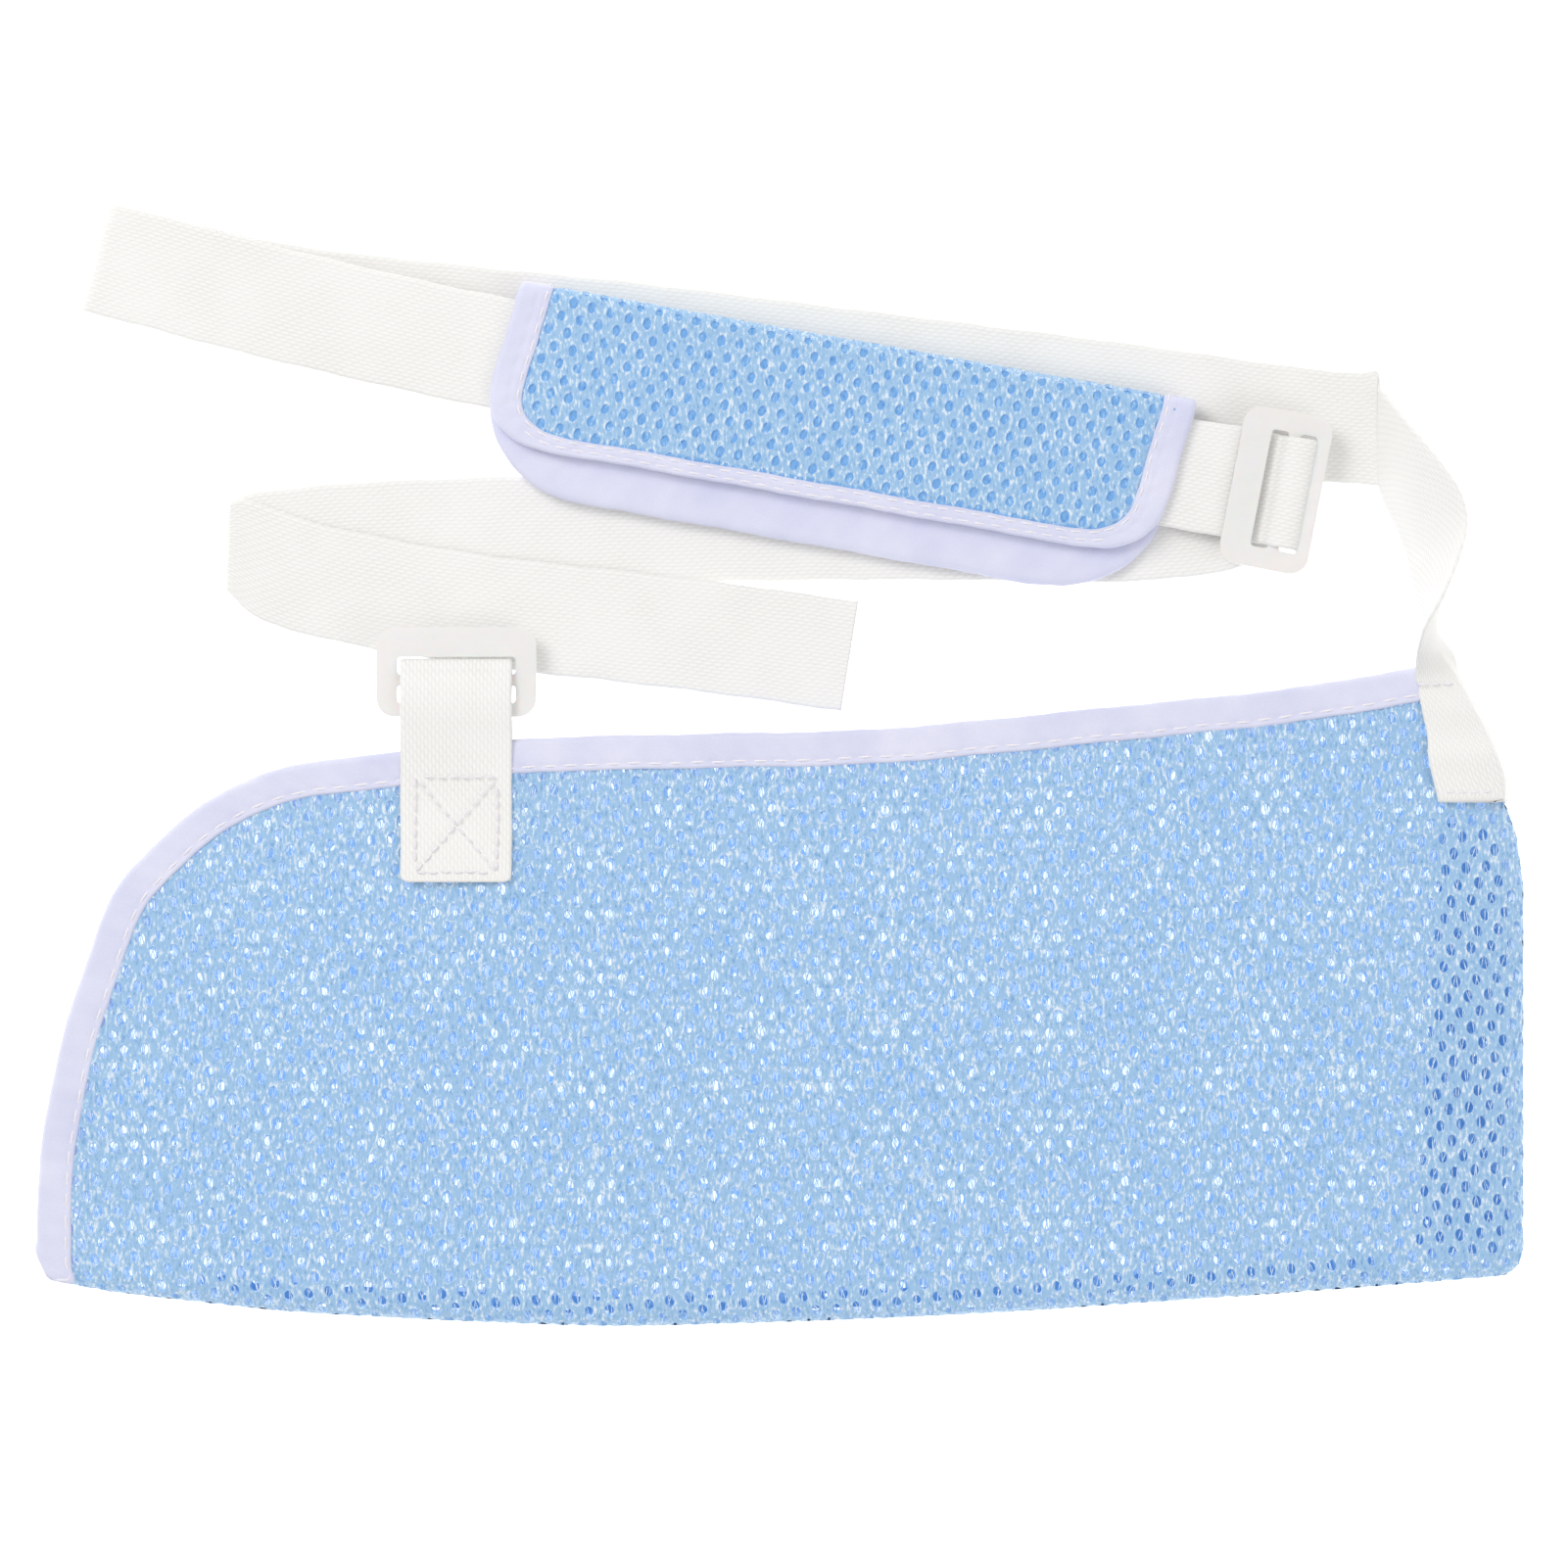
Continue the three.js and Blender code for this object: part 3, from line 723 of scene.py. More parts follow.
def pouch_panel(side, binding, degrees, material, yarn_depth, seed):
    """One panel's net and the filaments in its holes, and the loop that it was cut to."""
    surface, domain = pouch_surface(side), pouch_domain(binding)
    name, hole = "front" if side > 0 else "back", POUCH_HOLE
    cut = (hole, domain, surface, material, NET_THICK, seed)
    panel, holes, sizes = net(f"pouch_{name}_mesh", *POUCH_PITCH, degrees, *cut)
    crossed = (holes, sizes, hole, surface, yarn_depth, material, seed + 1)
    yarns = strands(f"pouch_{name}_filaments", *crossed)
    return panel, yarns, domain


def pouch():
    """The back panel with its binding and seam allowances, then the front panel that opens."""
    band, row = pouch_binding("back_binding", "back")
    panel, yarns, domain = pouch_panel(-1, "back_binding", -MESH_LEAN, MESH_BACK, 0.8 * MM, 2)
    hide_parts("pouch_back_panel", "pouch_bottom_fold", "pouch_elbow_end")
    for piece in (band, row, panel, yarns):
        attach(piece, "sling")
    seams = [allowance(side) for side in ("elbow", "bottom")]
    cloth(panel, domain, "laid", ["floor"], [yarns, band, row, *seams])
    lower = panel.name

    band, row = pouch_binding("front_binding", "front")
    panel, yarns, domain = pouch_panel(1, "front_binding", MESH_LEAN, MESH_FRONT, 1.1 * MM, 0)
    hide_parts("pouch_front_flap", "pouch_front_panel")
    for piece in (band, row, panel, yarns):
        bend_with_flap(piece)
    cloth(panel, domain, "laid", [lower], [yarns, band, row])


def allowance(side):
    """A seam allowance of the same mesh inside the pouch, seen through the front panel's holes."""
    name, node = f"{side}_allowance_mesh", f"{side}_seam_allowance"
    low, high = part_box(node)
    loop = anticlockwise(outline(node))

    def place(flat, depth):
        return np.column_stack([flat, high.z - depth])

    # painted shade and painted light: the allowance takes the darker copy of the knit, and both of its
    # faces glow
    cut = ((0.55 * MM, 0.7 * MM), loop, place, MESH_UNDER_SHADED, high.z - low.z)
    piece = net(name, 5.0 * MM, 3.9 * MM, -14.0, *cut, glow=(0.3, 0.3))[0]
    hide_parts(node)
    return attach(piece, "sling")


# ---- binding tape and stitching ----
def tape(name, edges, half, stitch_at, seed=0.0, step=0.9 * MM):
    """Tape folded over a cloth's edge: edges (2, n, 3) are its outer and inner edges at the middle of
    its thickness, half is half that thickness, and stitch_at the distances from the inner edge where
    stitching pulls it down. Returns the piece, and each stitched row's points and normals."""
    outer, inner = smoothed(edges, step)
    s = distances(outer)
    roll_share, hem_share, dent_depth = 0.17, 0.06, 0.34 * MM
    bend = np.linspace(0, math.pi / 2, 6)
    u = np.concatenate([(1 - np.cos(bend)) * roll_share, np.linspace(roll_share, 1, 17)[1:]])
    width = np.linalg.norm(inner - outer, axis=1)[:, None]
    sideways = unit(inner - outer)[:, None]
    surface = outer[:, None] + u[None, :, None] * (inner - outer)[:, None]
    sway = waves(s, [(31 * MM, 0.12 * MM), (9 * MM, 0.05 * MM)], seed)
    surface = surface + sway[:, None, None] * sideways
    normal = normals(surface)
    roll, hem = quarter(u / roll_share), quarter((1 - u) / hem_share, 0.5)
    dent = np.zeros((len(s), len(u)))
    for at in stitch_at:
        pull = 0.6 + 0.4 * np.cos(2 * math.pi * s / STITCH_PITCH)[:, None]
        dent += dent_depth * pull * np.exp(-(((1 - u) * width - at) / (0.8 * MM)) ** 2)
    puckers = [(STITCH_PITCH, 0.06 * MM), (13 * MM, 0.08 * MM)]
    pucker = waves(s[:, None] + 0.5 * u * width, puckers, seed)
    height = (half + pucker * np.sin(math.pi * np.minimum(u, 0.9))) * roll * hem - dent
    top = surface + normal * height[..., None]
    bottom = (surface - normal * height[..., None])[:, ::-1]
    piece = loft(name, np.concatenate([top, bottom[:, :-1]], axis=1), TAPE)
    rows = []
    for at in stitch_at:
        share = np.clip(1 - at / width[:, 0], 0, 1)
        k = np.clip(np.searchsorted(u, share) - 1, 0, len(u) - 2)
        t = ((share - u[k]) / (u[k + 1] - u[k]))[:, None]
        here = np.arange(len(s))
        rows.append((top[here, k] * (1 - t) + top[here, k + 1] * t, normal[here, k]))
    return piece, rows


def loft(name, rings, material, **attributes):
    """A closed skin through rings of points, with both ends closed. Each ring's points run along one
    face and back along the other."""
    stations, count = rings.shape[:2]
    i, j = np.mgrid[0:stations - 1, 0:count]
    a = i * count + j
    b = i * count + (j + 1) % count
    faces = np.stack([a, b, b + count, a + count], axis=-1).reshape(-1, 4).tolist()
    last = (stations - 1) * count
    for near in range(count // 2):
        far = count - 1 - near
        inner = far - 1 if far - 1 > near + 1 else near + 1
        if far > near + 1:
            faces.append([near, far, inner, near + 1])
            faces.append([last + k for k in (near + 1, inner, far, near)])
    faces = [list(dict.fromkeys(face)) for face in faces]
    return face_out(add_mesh(name, rings.reshape(-1, 3), faces, material, **attributes))


def face_out(obj):
    with editing(obj) as made:
        bmesh.ops.recalc_face_normals(made, faces=made.faces)
    return obj


def stitch_row(name, line, up, pitch=STITCH_PITCH, length=4.3 * MM, radius=0.33 * MM, seed=0):
    """Lockstitches along a line: each a short thread that dips into the cloth at both ends."""
    random = np.random.default_rng(seed)
    s = distances(line)
    rings, sides = 7, 6
    arch = np.sin(np.linspace(0, math.pi, rings))
    turn = np.linspace(0, 2 * math.pi, sides, endpoint=False)
    points, faces = [], []
    up = np.broadcast_to(np.asarray(up, float), line.shape)
    for n in range(int(s[-1] / pitch)):
        start = (n + 0.12) * pitch + random.uniform(-0.15, 0.15) * MM
        at = np.linspace(start, start + length, rings)
        path = np.stack([np.interp(at, s, axis) for axis in line.T], axis=1)
        lift = np.stack([np.interp(at, s, axis) for axis in up.T], axis=1)
        ahead = unit(np.gradient(path, axis=0))
        sideways = unit(np.cross(lift, ahead))
        path = path + lift * ((arch * 0.5 - 0.25) * MM * 0.8)[:, None]
        path = path + sideways * random.uniform(-0.12, 0.12) * MM
        thick = radius * (0.55 + 0.45 * arch)
        base = len(points) * sides
        for k in range(rings):
            circle = np.cos(turn)[:, None] * sideways[k] + 0.75 * np.sin(turn)[:, None] * lift[k]
            points.append(path[k] + thick[k] * circle)
        for k in range(rings - 1):
            a = base + k * sides
            for m in range(sides):
                n1 = (m + 1) % sides
                faces.append([a + m, a + n1, a + sides + n1, a + sides + m])
        faces.append([base + m for m in range(sides)][::-1])
        faces.append([base + (rings - 1) * sides + m for m in range(sides)])
    obj = face_out(add_mesh(name, np.concatenate(points), faces, THREAD))
    return obj


def carried_on(line, distance):
    """A line with its end taken straight on."""
    return np.vstack([line, line[-1] + unit(line[-1] - line[-2]) * distance])


def pouch_binding(node, side):
    """Tape round the open edge. In front its end goes on under the strap's anchor."""
    low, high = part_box(node)
    beyond = 6 * MM if side == "front" else 0.5 * MM
    lines = [carried_on(line, beyond) for line in binding_sides(node)]
    outer, inner = (at_shares(line, np.linspace(0, 1, 90)) for line in lines)
    middle = np.full((90, 1), (low.z + high.z) / 2)
    edges = np.stack([np.hstack([outer, middle]), np.hstack([inner, middle])])
    if side == "front":
        edges = edges[:, ::-1]
    band, rows = tape(f"{side}_binding_tape", edges, (high.z - low.z) / 2, [1.8 * MM], seed=len(side))
    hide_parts(node)
    return band, stitch_row(f"{side}_binding_stitches", *rows[0])


# ---- webbing ----
def weave_relief(stations, across):
    """Height of the woven face at each grid point, from 0 in the valleys to 1 on the crests."""
    i, j = np.mgrid[0:stations, 0:across]
    yarn = j // 2
    float_wave = 0.5 + 0.5 * np.cos(math.pi * (i / 2 + (yarn % 2)))
    return np.where(j % 2 == 0, 0.25 + 0.75 * float_wave, 0.1)


def rounded(inset):
    """How much of its thickness webbing keeps at a distance in from its edge."""
    return quarter(inset / SELVEDGE, 0.03)


def loosened(line, reach, slack):
    """The line with the turn at its far end standing off the bar inside it."""
    ends = line.mean(axis=0)
    ahead = unit(ends[np.argmax(np.linalg.norm(ends - ends[0], axis=1))] - ends[0]) * [1, 1, 0]
    along = line @ ahead
    share = np.clip((along - along.max() + reach) / reach, 0, 1)
    return line + ahead * (slack * share * share * (3 - 2 * share))[..., None]


def tucked(line, at, reach=10.5 * MM, tuck=6.8 * MM):
    """The line's two edges drawn in towards a fold at x = at, where its soft corners turn under."""
    line = smoothed(line, 1.2 * MM)
    near = np.clip(1 - (line[..., :1] - at) / reach, 0, 1)
    return line + (line[::-1] - line) * (1 - np.sqrt(1 - near**2)) * tuck / WEB_WIDTH


def webbing(name, line, seed=0.0, wander=0.12 * MM, corner=0.0):
    """Woven webbing through edges (2, n, 3), or (3, n, 3) with the corner that it bends round between
    them. Both faces are the same, the selvedges are rounded, and so are the corners in plan."""
    lines = smoothed(line, WEAVE_ALONG)
    stations = lines.shape[1]
    s = np.arange(stations) * WEAVE_ALONG
    count = 2 * round(WEB_WIDTH / WEAVE_ACROSS / 2) + 1
    v = np.linspace(0, 1, count)
    short = np.clip(corner - np.minimum(s, s[-1] - s), 0, corner)
    drawn = (corner - np.sqrt(corner**2 - short**2)) / WEB_WIDTH
    share = 0.5 + (v - 0.5)[None] * (1 - 2 * drawn)[:, None]
    surface = np.stack([at_shares(across, on) for across, on in zip(lines.transpose(1, 0, 2), share)])
    if len(lines) == 3:
        for _ in range(6):
            surface[:, 1:-1] = (surface[:, :-2] + 2 * surface[:, 1:-1] + surface[:, 2:]) / 4
    sideways = unit(lines[-1] - lines[0])[:, None]
    edge_wave = waves(s[:, None] + 0.02 * v, [(23 * MM, wander), (8 * MM, wander / 3)], seed)[..., None]
    surface = surface + edge_wave * sideways
    normal = normals(surface)
    inset = np.minimum(v, 1 - v)[None] * WEB_WIDTH
    crest = weave_relief(stations, count)
    relief = WEAVE_RELIEF * (1 - crest) * np.minimum(inset / (0.5 * MM), 1)
    from_end = np.minimum(s, s[-1] - s)[:, None]
    half = WEB_THICK / 2 * rounded(inset) * rounded(from_end + 0.3 * MM)
    half = half - relief * np.minimum(from_end / MM, 1)
    top = surface + normal * half[..., None]
    bottom = (surface - normal * half[..., None])[:, ::-1]
    rings = np.concatenate([top, bottom], axis=1)
    across = np.concatenate([v, v[::-1]]) * WEB_WIDTH
    place = np.stack(np.broadcast_arrays(s[:, None], across[None], 0 * s[:, None]), axis=2)
    # the weave heights go to the shader as "crest", where they paint shade in the valleys and a
    # highlight on the crests
    crests = np.concatenate([crest, crest[:, ::-1]], axis=1)
    piece = loft(name, rings, WEBBING, weave=place.reshape(-1, 3), crest=crests.ravel())
    return piece, distances(lines.mean(axis=0))[-1]


def lay(piece, length, body, held, *nodes):
    """Webbing that lies with one body and stands for CAD nodes."""
    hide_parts(*nodes)
    if body:
        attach(piece, body)


def anchor_line():
    """The strap's end: its raw end turned under, then the hem and the tab flat on the panel's corner,
    with the webbing's last third turned down over the pouch's edge. Each row is the webbing's edge, the
    corner that it bends round, and its low edge."""
    tab, hem = outline("strap_anchor_tab"), outline("strap_anchor_hem")
    wall_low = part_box("strap_anchor_edge")[0].z + 0.8 * MM
    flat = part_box("strap_anchor_tab")[1].z - WEB_THICK / 2
    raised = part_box("strap_anchor_hem")[1].z - WEB_THICK / 2

    def across(loop, y):
        """Where a loop's left and right sides are, at a height in plan."""
        xs = []
        for (x0, y0), (x1, y1) in zip(loop, np.roll(loop, -1, axis=0)):
            if (y0 > y) != (y1 > y):
                xs.append(x0 + (y - y0) * (x1 - x0) / (y1 - y0))
        return min(xs), max(xs)

    lowest, highest = hem[:, 1].min() + 0.9 * MM, hem[:, 1].max() - 0.3 * MM
    between = (lowest + highest) / 2
    rows = []
    for y in (highest, between, lowest):
        left, right = across(hem, y)
        rows.append([(left, y, flat), ((left + right) / 2, y, flat), (right, y, flat)])
    fold, middle = lowest - 0.65 * MM, (flat + raised) / 2
    low_edge = (right + MM, lowest - 0.4 * MM, middle - MM)
    rows.append([(left, fold, middle), (right - MM, fold, middle), low_edge])
    for y in (lowest, between, highest - MM):
        left, right = across(hem, y)
        rows.append([(left, y, raised), (right, y, raised), (right + 2 * MM, y - MM, wall_low)])
    start, top = tab[:, 1].min(), tab[:, 1].max() - 1.6 * MM
    for y in (start + 1.5 * MM, (start + top) / 2):
        left, right = across(tab, y)
        rows.append([(left, y, flat), (right, y, flat), (right + 1.9 * MM, y, wall_low + MM)])
    left, right = across(tab, top)
    low_edge = (right + 3.2 * MM, top, wall_low + 2.5 * MM)
    rows.append([(left, top, flat), (right + 1.7 * MM, top, flat), low_edge])
    return np.array(rows).transpose(1, 0, 2)


def strap():
    """The whole strap, from its anchor to its free end. It is in three pieces that meet inside the
    slider and under the tail, since the free end bends upwards on its own."""
    parts = ("riser", "upper_run", "far_fold", "shoulder_run", "adjuster_turn")
    nodes = [f"strap_{part}" for part in parts]
    line = through(*nodes)
    if line[0, 0, 0] > line[1, 0, 0]:
        line = line[::-1]
    along = distances(line.mean(axis=0))
    turn = along > along[-1] - ADJUSTER_LENGTH
    line[:, turn] = loosened(line[:, turn], TURN_REACH, ADJUSTER_SLACK)
    line = np.stack([line[0], line.mean(axis=0), line[1]])[:, 3:]
    piece, length = webbing("strap_long_webbing", np.concatenate([anchor_line(), line], axis=1), 0.3)
    nodes += [f"strap_anchor_{part}" for part in ("tab", "hem", "edge")]
    lay(piece, length, "sling", "folded", *nodes)

    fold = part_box("strap_return_fold")[0].x - 0.3 * MM
    piece, length = webbing("strap_return_webbing", tucked(through("strap_return_run"), fold), 2.3)
    lay(piece, length, "sling", "laid", "strap_return_run")

    nodes = ("strap_return_fold", "strap_tail", "strap_free_end")
    piece, length = webbing("strap_tail_webbing", tucked(through(*nodes), fold), 3.9)
    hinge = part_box("strap_free_end")[0].x
    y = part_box("strap_tail")[0].y
    start, end = (hinge - FREE_END_BEND[0], y, 0), (hinge + FREE_END_BEND[1], y, 0)
    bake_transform(piece)
    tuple(start)
    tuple(end)
    lay(piece, length, None, "folded", *nodes)


def patch_stitches():
    """Box-and-cross stitching on the sewn patch of the buckle loop, and rows on the strap's anchor."""
    low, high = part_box("loop_box_stitching")
    z = low.z - 0.1 * MM
    inset = 0.5 * MM
    left, right, foot, head = low.x + inset, high.x - inset, low.y + inset, high.y - inset
    corners = [(left, foot), (right, foot), (right, head), (left, head)]
    runs = [(corners[k], corners[(k + 1) % 4]) for k in range(4)]
    runs += [(corners[0], corners[2]), (corners[1], corners[3])]
    for n, (start, end) in enumerate(runs):
        line = np.array([[*start, z], [*end, z]])
        row = stitch_row(f"loop_stitches_{n}", line, (0, 0, 1), **PATCH_STYLE, seed=n)
        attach(row, "front_flap")
        if n == 0:
            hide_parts("loop_box_stitching")
    tab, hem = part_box("strap_anchor_tab"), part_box("strap_anchor_hem")
    rows = [
        (tab[1].y - 4 * MM, tab[0].x + 0.6 * MM, tab[0].x + 12 * MM, tab[1].z),
        (hem[0].y + 2.6 * MM, hem[0].x + 4.5 * MM, hem[1].x - 2.5 * MM, hem[1].z),
    ]
    for n, (y, start, end, z) in enumerate(rows):
        line = np.array([[start, y, z], [end, y, z]])
        row = stitch_row(f"anchor_stitches_{n}", line, (0, 0, 1), **PATCH_STYLE, seed=9 + n)
        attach(row, "sling")


def buckle_loop():
    """The loop of webbing on the flap that holds the pouch's slider."""
    nodes = ("buckle_loop_front", "buckle_loop_back")
    line = loosened(through(*nodes), TURN_REACH, BUCKLE_SLACK)
    piece, length = webbing("buckle_loop_webbing", line, 5.1, wander=0.05 * MM, corner=1.8 * MM)
    lay(piece, length, "front_flap", "folded", *nodes)


# ---- shoulder pad ----
# A sleeve of spacer mesh folded over along its top. a runs along it and b across it, and w runs
# across its unfolded cloth, from the front edge up to the fold, round it, and on down the back.
def pad_axes():
    """The front layer's middle, and its directions along and across."""
    loop = outline("pad_front_layer")
    sides = np.roll(loop, -1, axis=0) - loop
    along = unit(sides[np.argmax(np.linalg.norm(sides, axis=1))])
    along = along * np.sign(along[0])
    return loop.mean(axis=0), np.array([along, [-along[1], along[0]]])


PAD_CENTRE, PAD_AXES = pad_axes()
PAD_LOW, PAD_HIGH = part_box("pad_back_layer")[0].z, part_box("pad_front_layer")[1].z
PAD_FOLD = 17.8 * MM  # where the cloth leaves the front face for the fold
PAD_RADIUS = (PAD_HIGH - PAD_LOW) / 2
PAD_TURN = math.pi * PAD_RADIUS  # cloth in the fold
PAD_TURNED = 2 * PAD_FOLD + PAD_TURN  # w on the back face is this less b
PAD_SKIN = 0.7 * MM
PAD_PITCH = (5.1 * MM, 4.2 * MM)
PAD_HOLE = (1.25 * MM, 1.68 * MM)
PAD_REACH = 92.4  # from its middle to its ends, in millimetres as in pad_side
PAD_CORNER_STEPS = 6
LAYER_GLOW = 0.3  # the glow of cloth that is under the outer mesh


def pad_side(drop, tape_wide, outer_corner, inner_corner, head, lean):
    """Matching points of the binding's outer and inner edges round one layer, as a and b: from head at
    its left end, round both corners, to its right end. tape_wide is the tape along the ends and along
    the edge, and a corner is a quarter of an ellipse, all in millimetres. The ends lean by lean."""
    angle = np.radians(np.linspace(180, 270, PAD_CORNER_STEPS))
    insets = ((0, 0), tape_wide)
    sides = []
    for (end, edge), (wide, tall) in zip(insets, (outer_corner, inner_corner)):
        a, b = PAD_REACH - end, drop - edge
        corner = np.column_stack([wide * (1 + np.cos(angle)) - a, tall * (1 + np.sin(angle)) - b])
        left = np.vstack([[-a, head], [-a, (head - b + tall) / 2], corner])
        along = np.linspace(-0.8, 0.8, PAD_CORNER_STEPS) * (a - wide)
        side = np.vstack([left, np.column_stack([along, 0 * along - b]), left[::-1] * [-1, 1]])
        side[:, 0] += lean * side[:, 1]
        sides.append(side)
    return np.stack(sides, axis=1) * MM


def pad_binding_rows(layer="all"):
    """The binding's two edges round the front layer, or round all of the unfolded cloth with their ends
    behind, as a and w."""
    front = pad_side(23.1, (8.9, 4.6), (18, 15), (13, 10), 23.2, 0.1)
    if layer == "front":
        return front
    back = pad_side(35.2, (9, 14.7), (30, 27), (19, 13), 14, 0.06)
    behind = back[::-1] * [1, -1] + [0, PAD_TURNED]
    return np.concatenate([behind[-2:], front, behind[:-1]])


def sleeve(flat, depth, rise=0.0):
    """A point of the unfolded pad at a depth below its outer face, with the front face raised."""
    a, w = flat.T
    turn = np.clip((w - PAD_FOLD) / PAD_RADIUS, 0, math.pi)
    spare = np.where(w > PAD_FOLD + PAD_TURN, w - PAD_FOLD - PAD_TURN, 0)
    radius = PAD_RADIUS - depth
    b = np.minimum(w, PAD_FOLD) + radius * np.sin(turn) - spare
    z = (PAD_LOW + PAD_HIGH) / 2 + radius * np.cos(turn) + rise * (turn == 0)
    return np.column_stack([PAD_CENTRE + np.column_stack([a, b]) @ PAD_AXES, z])


def pad_patch(spacing, loop, lowest, highest):
    """A grid of squares over the part of a loop on the unfolded cloth between two values of w."""
    least, most = loop[:, 0].min(), loop[:, 0].max()
    xs = np.linspace(least, most, round((most - least) / spacing) + 1)
    ys = np.linspace(lowest, highest, round((highest - lowest) / spacing) + 1)
    grid = np.stack(np.meshgrid(xs, ys, indexing="ij"), axis=2).reshape(-1, 2)
    i, j = np.mgrid[0:len(xs) - 1, 0:len(ys) - 1]
    corner = (i * len(ys) + j).ravel()
    quads = np.stack([corner, corner + len(ys), corner + len(ys) + 1, corner + 1], axis=1)
    quads = quads[inside(loop, grid[quads].mean(axis=1))]
    used, index = np.unique(quads, return_inverse=True)
    return grid[used], index.reshape(-1, 4)


def pad_slab(name, quads, layers):
    """Cloth under the outer mesh, between two layers of points."""
    none = np.zeros(2 * len(layers[0]))
    # painted shade and painted light: cloth under the outer mesh takes the darker copy of the knit and
    # glows at LAYER_GLOW
    return slab(name, quads, *layers, MESH_UNDER_SHADED, rim=none, inner=none + LAYER_GLOW)


def pad_padding():
    """The front layer's filling: a thin slab of spacer yarns, swollen by its own springiness."""
    loop = pad_binding_rows("front").mean(axis=1)
    highest = 19 * MM
    grid, quads = pad_patch(3 * MM, loop, loop[:, 1].min() + 1.6 * MM, highest)
    low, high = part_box("pad_front_layer")[0].z + 0.1 * MM, PAD_HIGH - PAD_SKIN
    plan = PAD_CENTRE + grid @ PAD_AXES
    count = len(grid)
    layers = [np.column_stack([plan, np.full(count, z)]) for z in (high, low)]
    piece = pad_slab("pad_front_padding", quads, layers)
    held = piece.vertex_groups.new(name="held")
    edge = (np.abs(nearest(loop, grid)[1]) < 4.5 * MM) | (grid[:, 1] > highest - 0.1 * MM)
    held.add(np.flatnonzero(edge).tolist(), 1.0, "REPLACE")
    held.add(list(range(count, 2 * count)), 1.0, "REPLACE")
    swell(piece, "held", 3.2, 2.2 * MM)
    return piece


def swell(piece, held, pressure, cap):
    """Cloth under pressure, with its result applied to the mesh and its travel capped."""
    before = np.array([v.co for v in piece.data.vertices])
    cloth = piece.modifiers.new("cloth", "CLOTH")
    cloth.settings.use_pressure = True
    cloth.settings.uniform_pressure_force = pressure
    cloth.settings.vertex_group_mass = held
    cloth.settings.effector_weights.gravity = 0
    scene = bpy.context.scene
    for number in range(1, 21):
        scene.frame_set(number)
    shape = piece.evaluated_get(bpy.context.evaluated_depsgraph_get())
    after = np.array([v.co for v in shape.data.vertices])
    piece.modifiers.remove(cloth)
    move = after - before
    size = np.linalg.norm(move, axis=1, keepdims=True)
    move *= np.minimum(1, cap / np.maximum(size, 1e-9))
    piece.data.vertices.foreach_set("co", (before + move).ravel())
    piece.data.update()
    scene.frame_set(1)


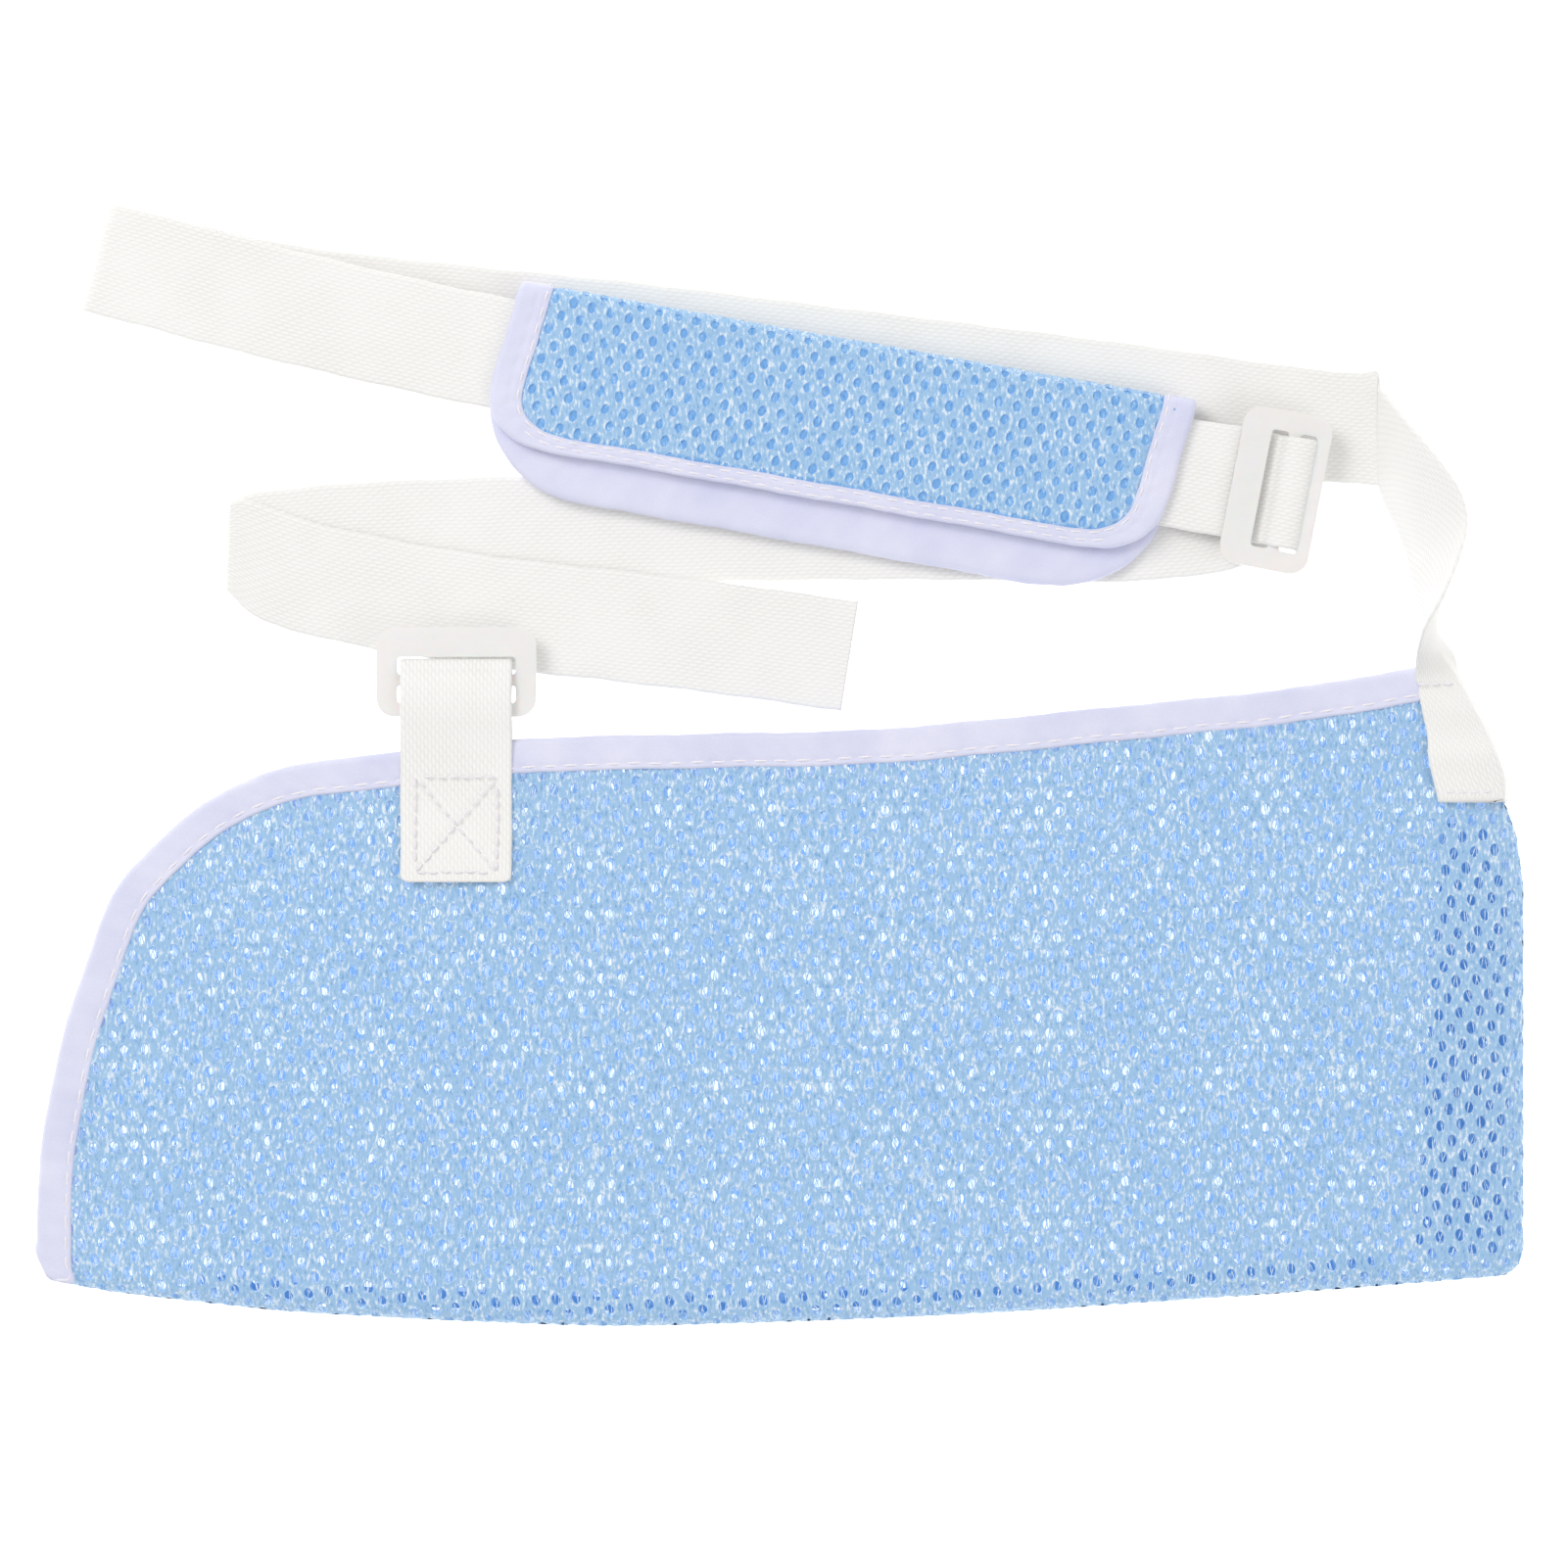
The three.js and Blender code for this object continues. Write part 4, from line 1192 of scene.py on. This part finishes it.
def pad():
    """The padding, then the binding round its mesh, the mesh that follows its swell, and the lining."""
    padding = pad_padding()
    refine(padding)
    tree = BVHTree.FromObject(padding, bpy.context.evaluated_depsgraph_get())

    edge_depth = 1.35 * MM
    fine = smoothed(pad_binding_rows().transpose(1, 0, 2), 2.2 * MM)
    edges = np.stack([sleeve(side, np.full(len(side), edge_depth)) for side in fine])
    binding, lines = tape("pad_binding_tape", edges, 1.55 * MM, [1.2 * MM, 3.5 * MM], 0.7, 0.8 * MM)
    nodes = [f"pad_{side}_{layer}_binding" for side in ("left", "right") for layer in ("front", "back")]
    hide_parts(*nodes, "pad_front_edge_binding", "pad_back_edge_binding")

    def outer_skin(flat, depth):
        """The mesh rises over the padding, and dips to pass under the tape."""
        away = nearest(closed(fine[1]), flat)[1]
        rise = np.zeros(len(flat))
        for n, (x, y) in enumerate(PAD_CENTRE + flat @ PAD_AXES):
            hit = tree.ray_cast((x, y, 2 * PAD_HIGH), (0, 0, -1))[0]
            if hit is not None:
                rise[n] = max(0.0, hit.z + PAD_SKIN - PAD_HIGH)
        sink = 0.9 * MM * np.clip(0.5 - away / (2 * MM), 0, 1)
        return sleeve(flat, depth + sink, rise * np.clip(away / (7 * MM), 0, 1))

    line, up = lines[1]
    b = (line[:, :2] - PAD_CENTRE) @ PAD_AXES[1]
    on_front = (line[:, 2] > PAD_HIGH - 2 * MM) & (b < -18 * MM)
    stitches = [
        stitch_row("pad_inner_stitches", *lines[0], **PAD_STYLE),
        stitch_row("pad_front_stitches", line[on_front], up[on_front], **PAD_STYLE),
    ]

    domain = anticlockwise(fine[1] + 0.5 * (fine[0] - fine[1]))
    mesh = net("pad_mesh", *PAD_PITCH, -3.0, PAD_HOLE, domain, outer_skin, MESH_FRONT, PAD_SKIN)[0]
    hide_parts("pad_front_layer", "pad_top_fold", "pad_back_layer")
    lining = pad_lining(domain)
    for piece in (padding, binding, *stitches, mesh, lining):
        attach(piece, "shoulder_pad")
    cloth(mesh, domain, "folded", [padding.name, lining.name], [binding, *stitches])


def pad_lining(domain):
    """The cloth's inner face, behind the mesh of the fold and the back layer."""
    grid, quads = pad_patch(2 * MM, grown(domain, -2 * MM), PAD_FOLD + 1.5 * MM, domain[:, 1].max())
    layers = [sleeve(grid, np.full(len(grid), PAD_SKIN + depth)) for depth in (0.05 * MM, 1.3 * MM)]
    piece = pad_slab("pad_lining", quads, layers)
    tuple(np.ptp(grid, axis=0))
    return piece


def refine(piece):
    """One subdivision, applied."""
    with editing(piece) as made:
        bmesh.ops.subdivide_edges(made, edges=made.edges, cuts=1, smooth=0.6, use_grid_fill=True)
    smooth(piece)


# ---- sliders ----
def slider(node, name, body):
    """The CAD slider with its edges rounded over."""
    source = frame["nodes"][node]
    obj = bpy.data.objects.new(name, source.data.copy())
    bpy.context.scene.collection.objects.link(obj)
    flat, sharp = math.radians(2), math.radians(40)
    round_over = {"offset": 0.55 * MM, "segments": 4, "profile": 0.6, "affect": "EDGES"}
    with editing(obj) as made:
        bmesh.ops.remove_doubles(made, verts=made.verts, dist=0.001 * MM)
        bmesh.ops.dissolve_limit(made, angle_limit=flat, verts=made.verts, edges=made.edges)
        edges = [e for e in made.edges if e.is_manifold and e.calc_face_angle() > sharp]
        bmesh.ops.bevel(made, geom=edges, clamp_overlap=True, **round_over)
    obj.data.materials.clear()
    obj.data.materials.append(PLASTIC)
    smooth(obj)
    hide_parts(node)
    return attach(obj, body)


studio()
pouch()
strap()
buckle_loop()
patch_stitches()
pad()
slider("pouch_slider", "pouch_slider_moulding", "pouch_buckle")
slider("strap_adjuster", "strap_adjuster_moulding", "adjuster")
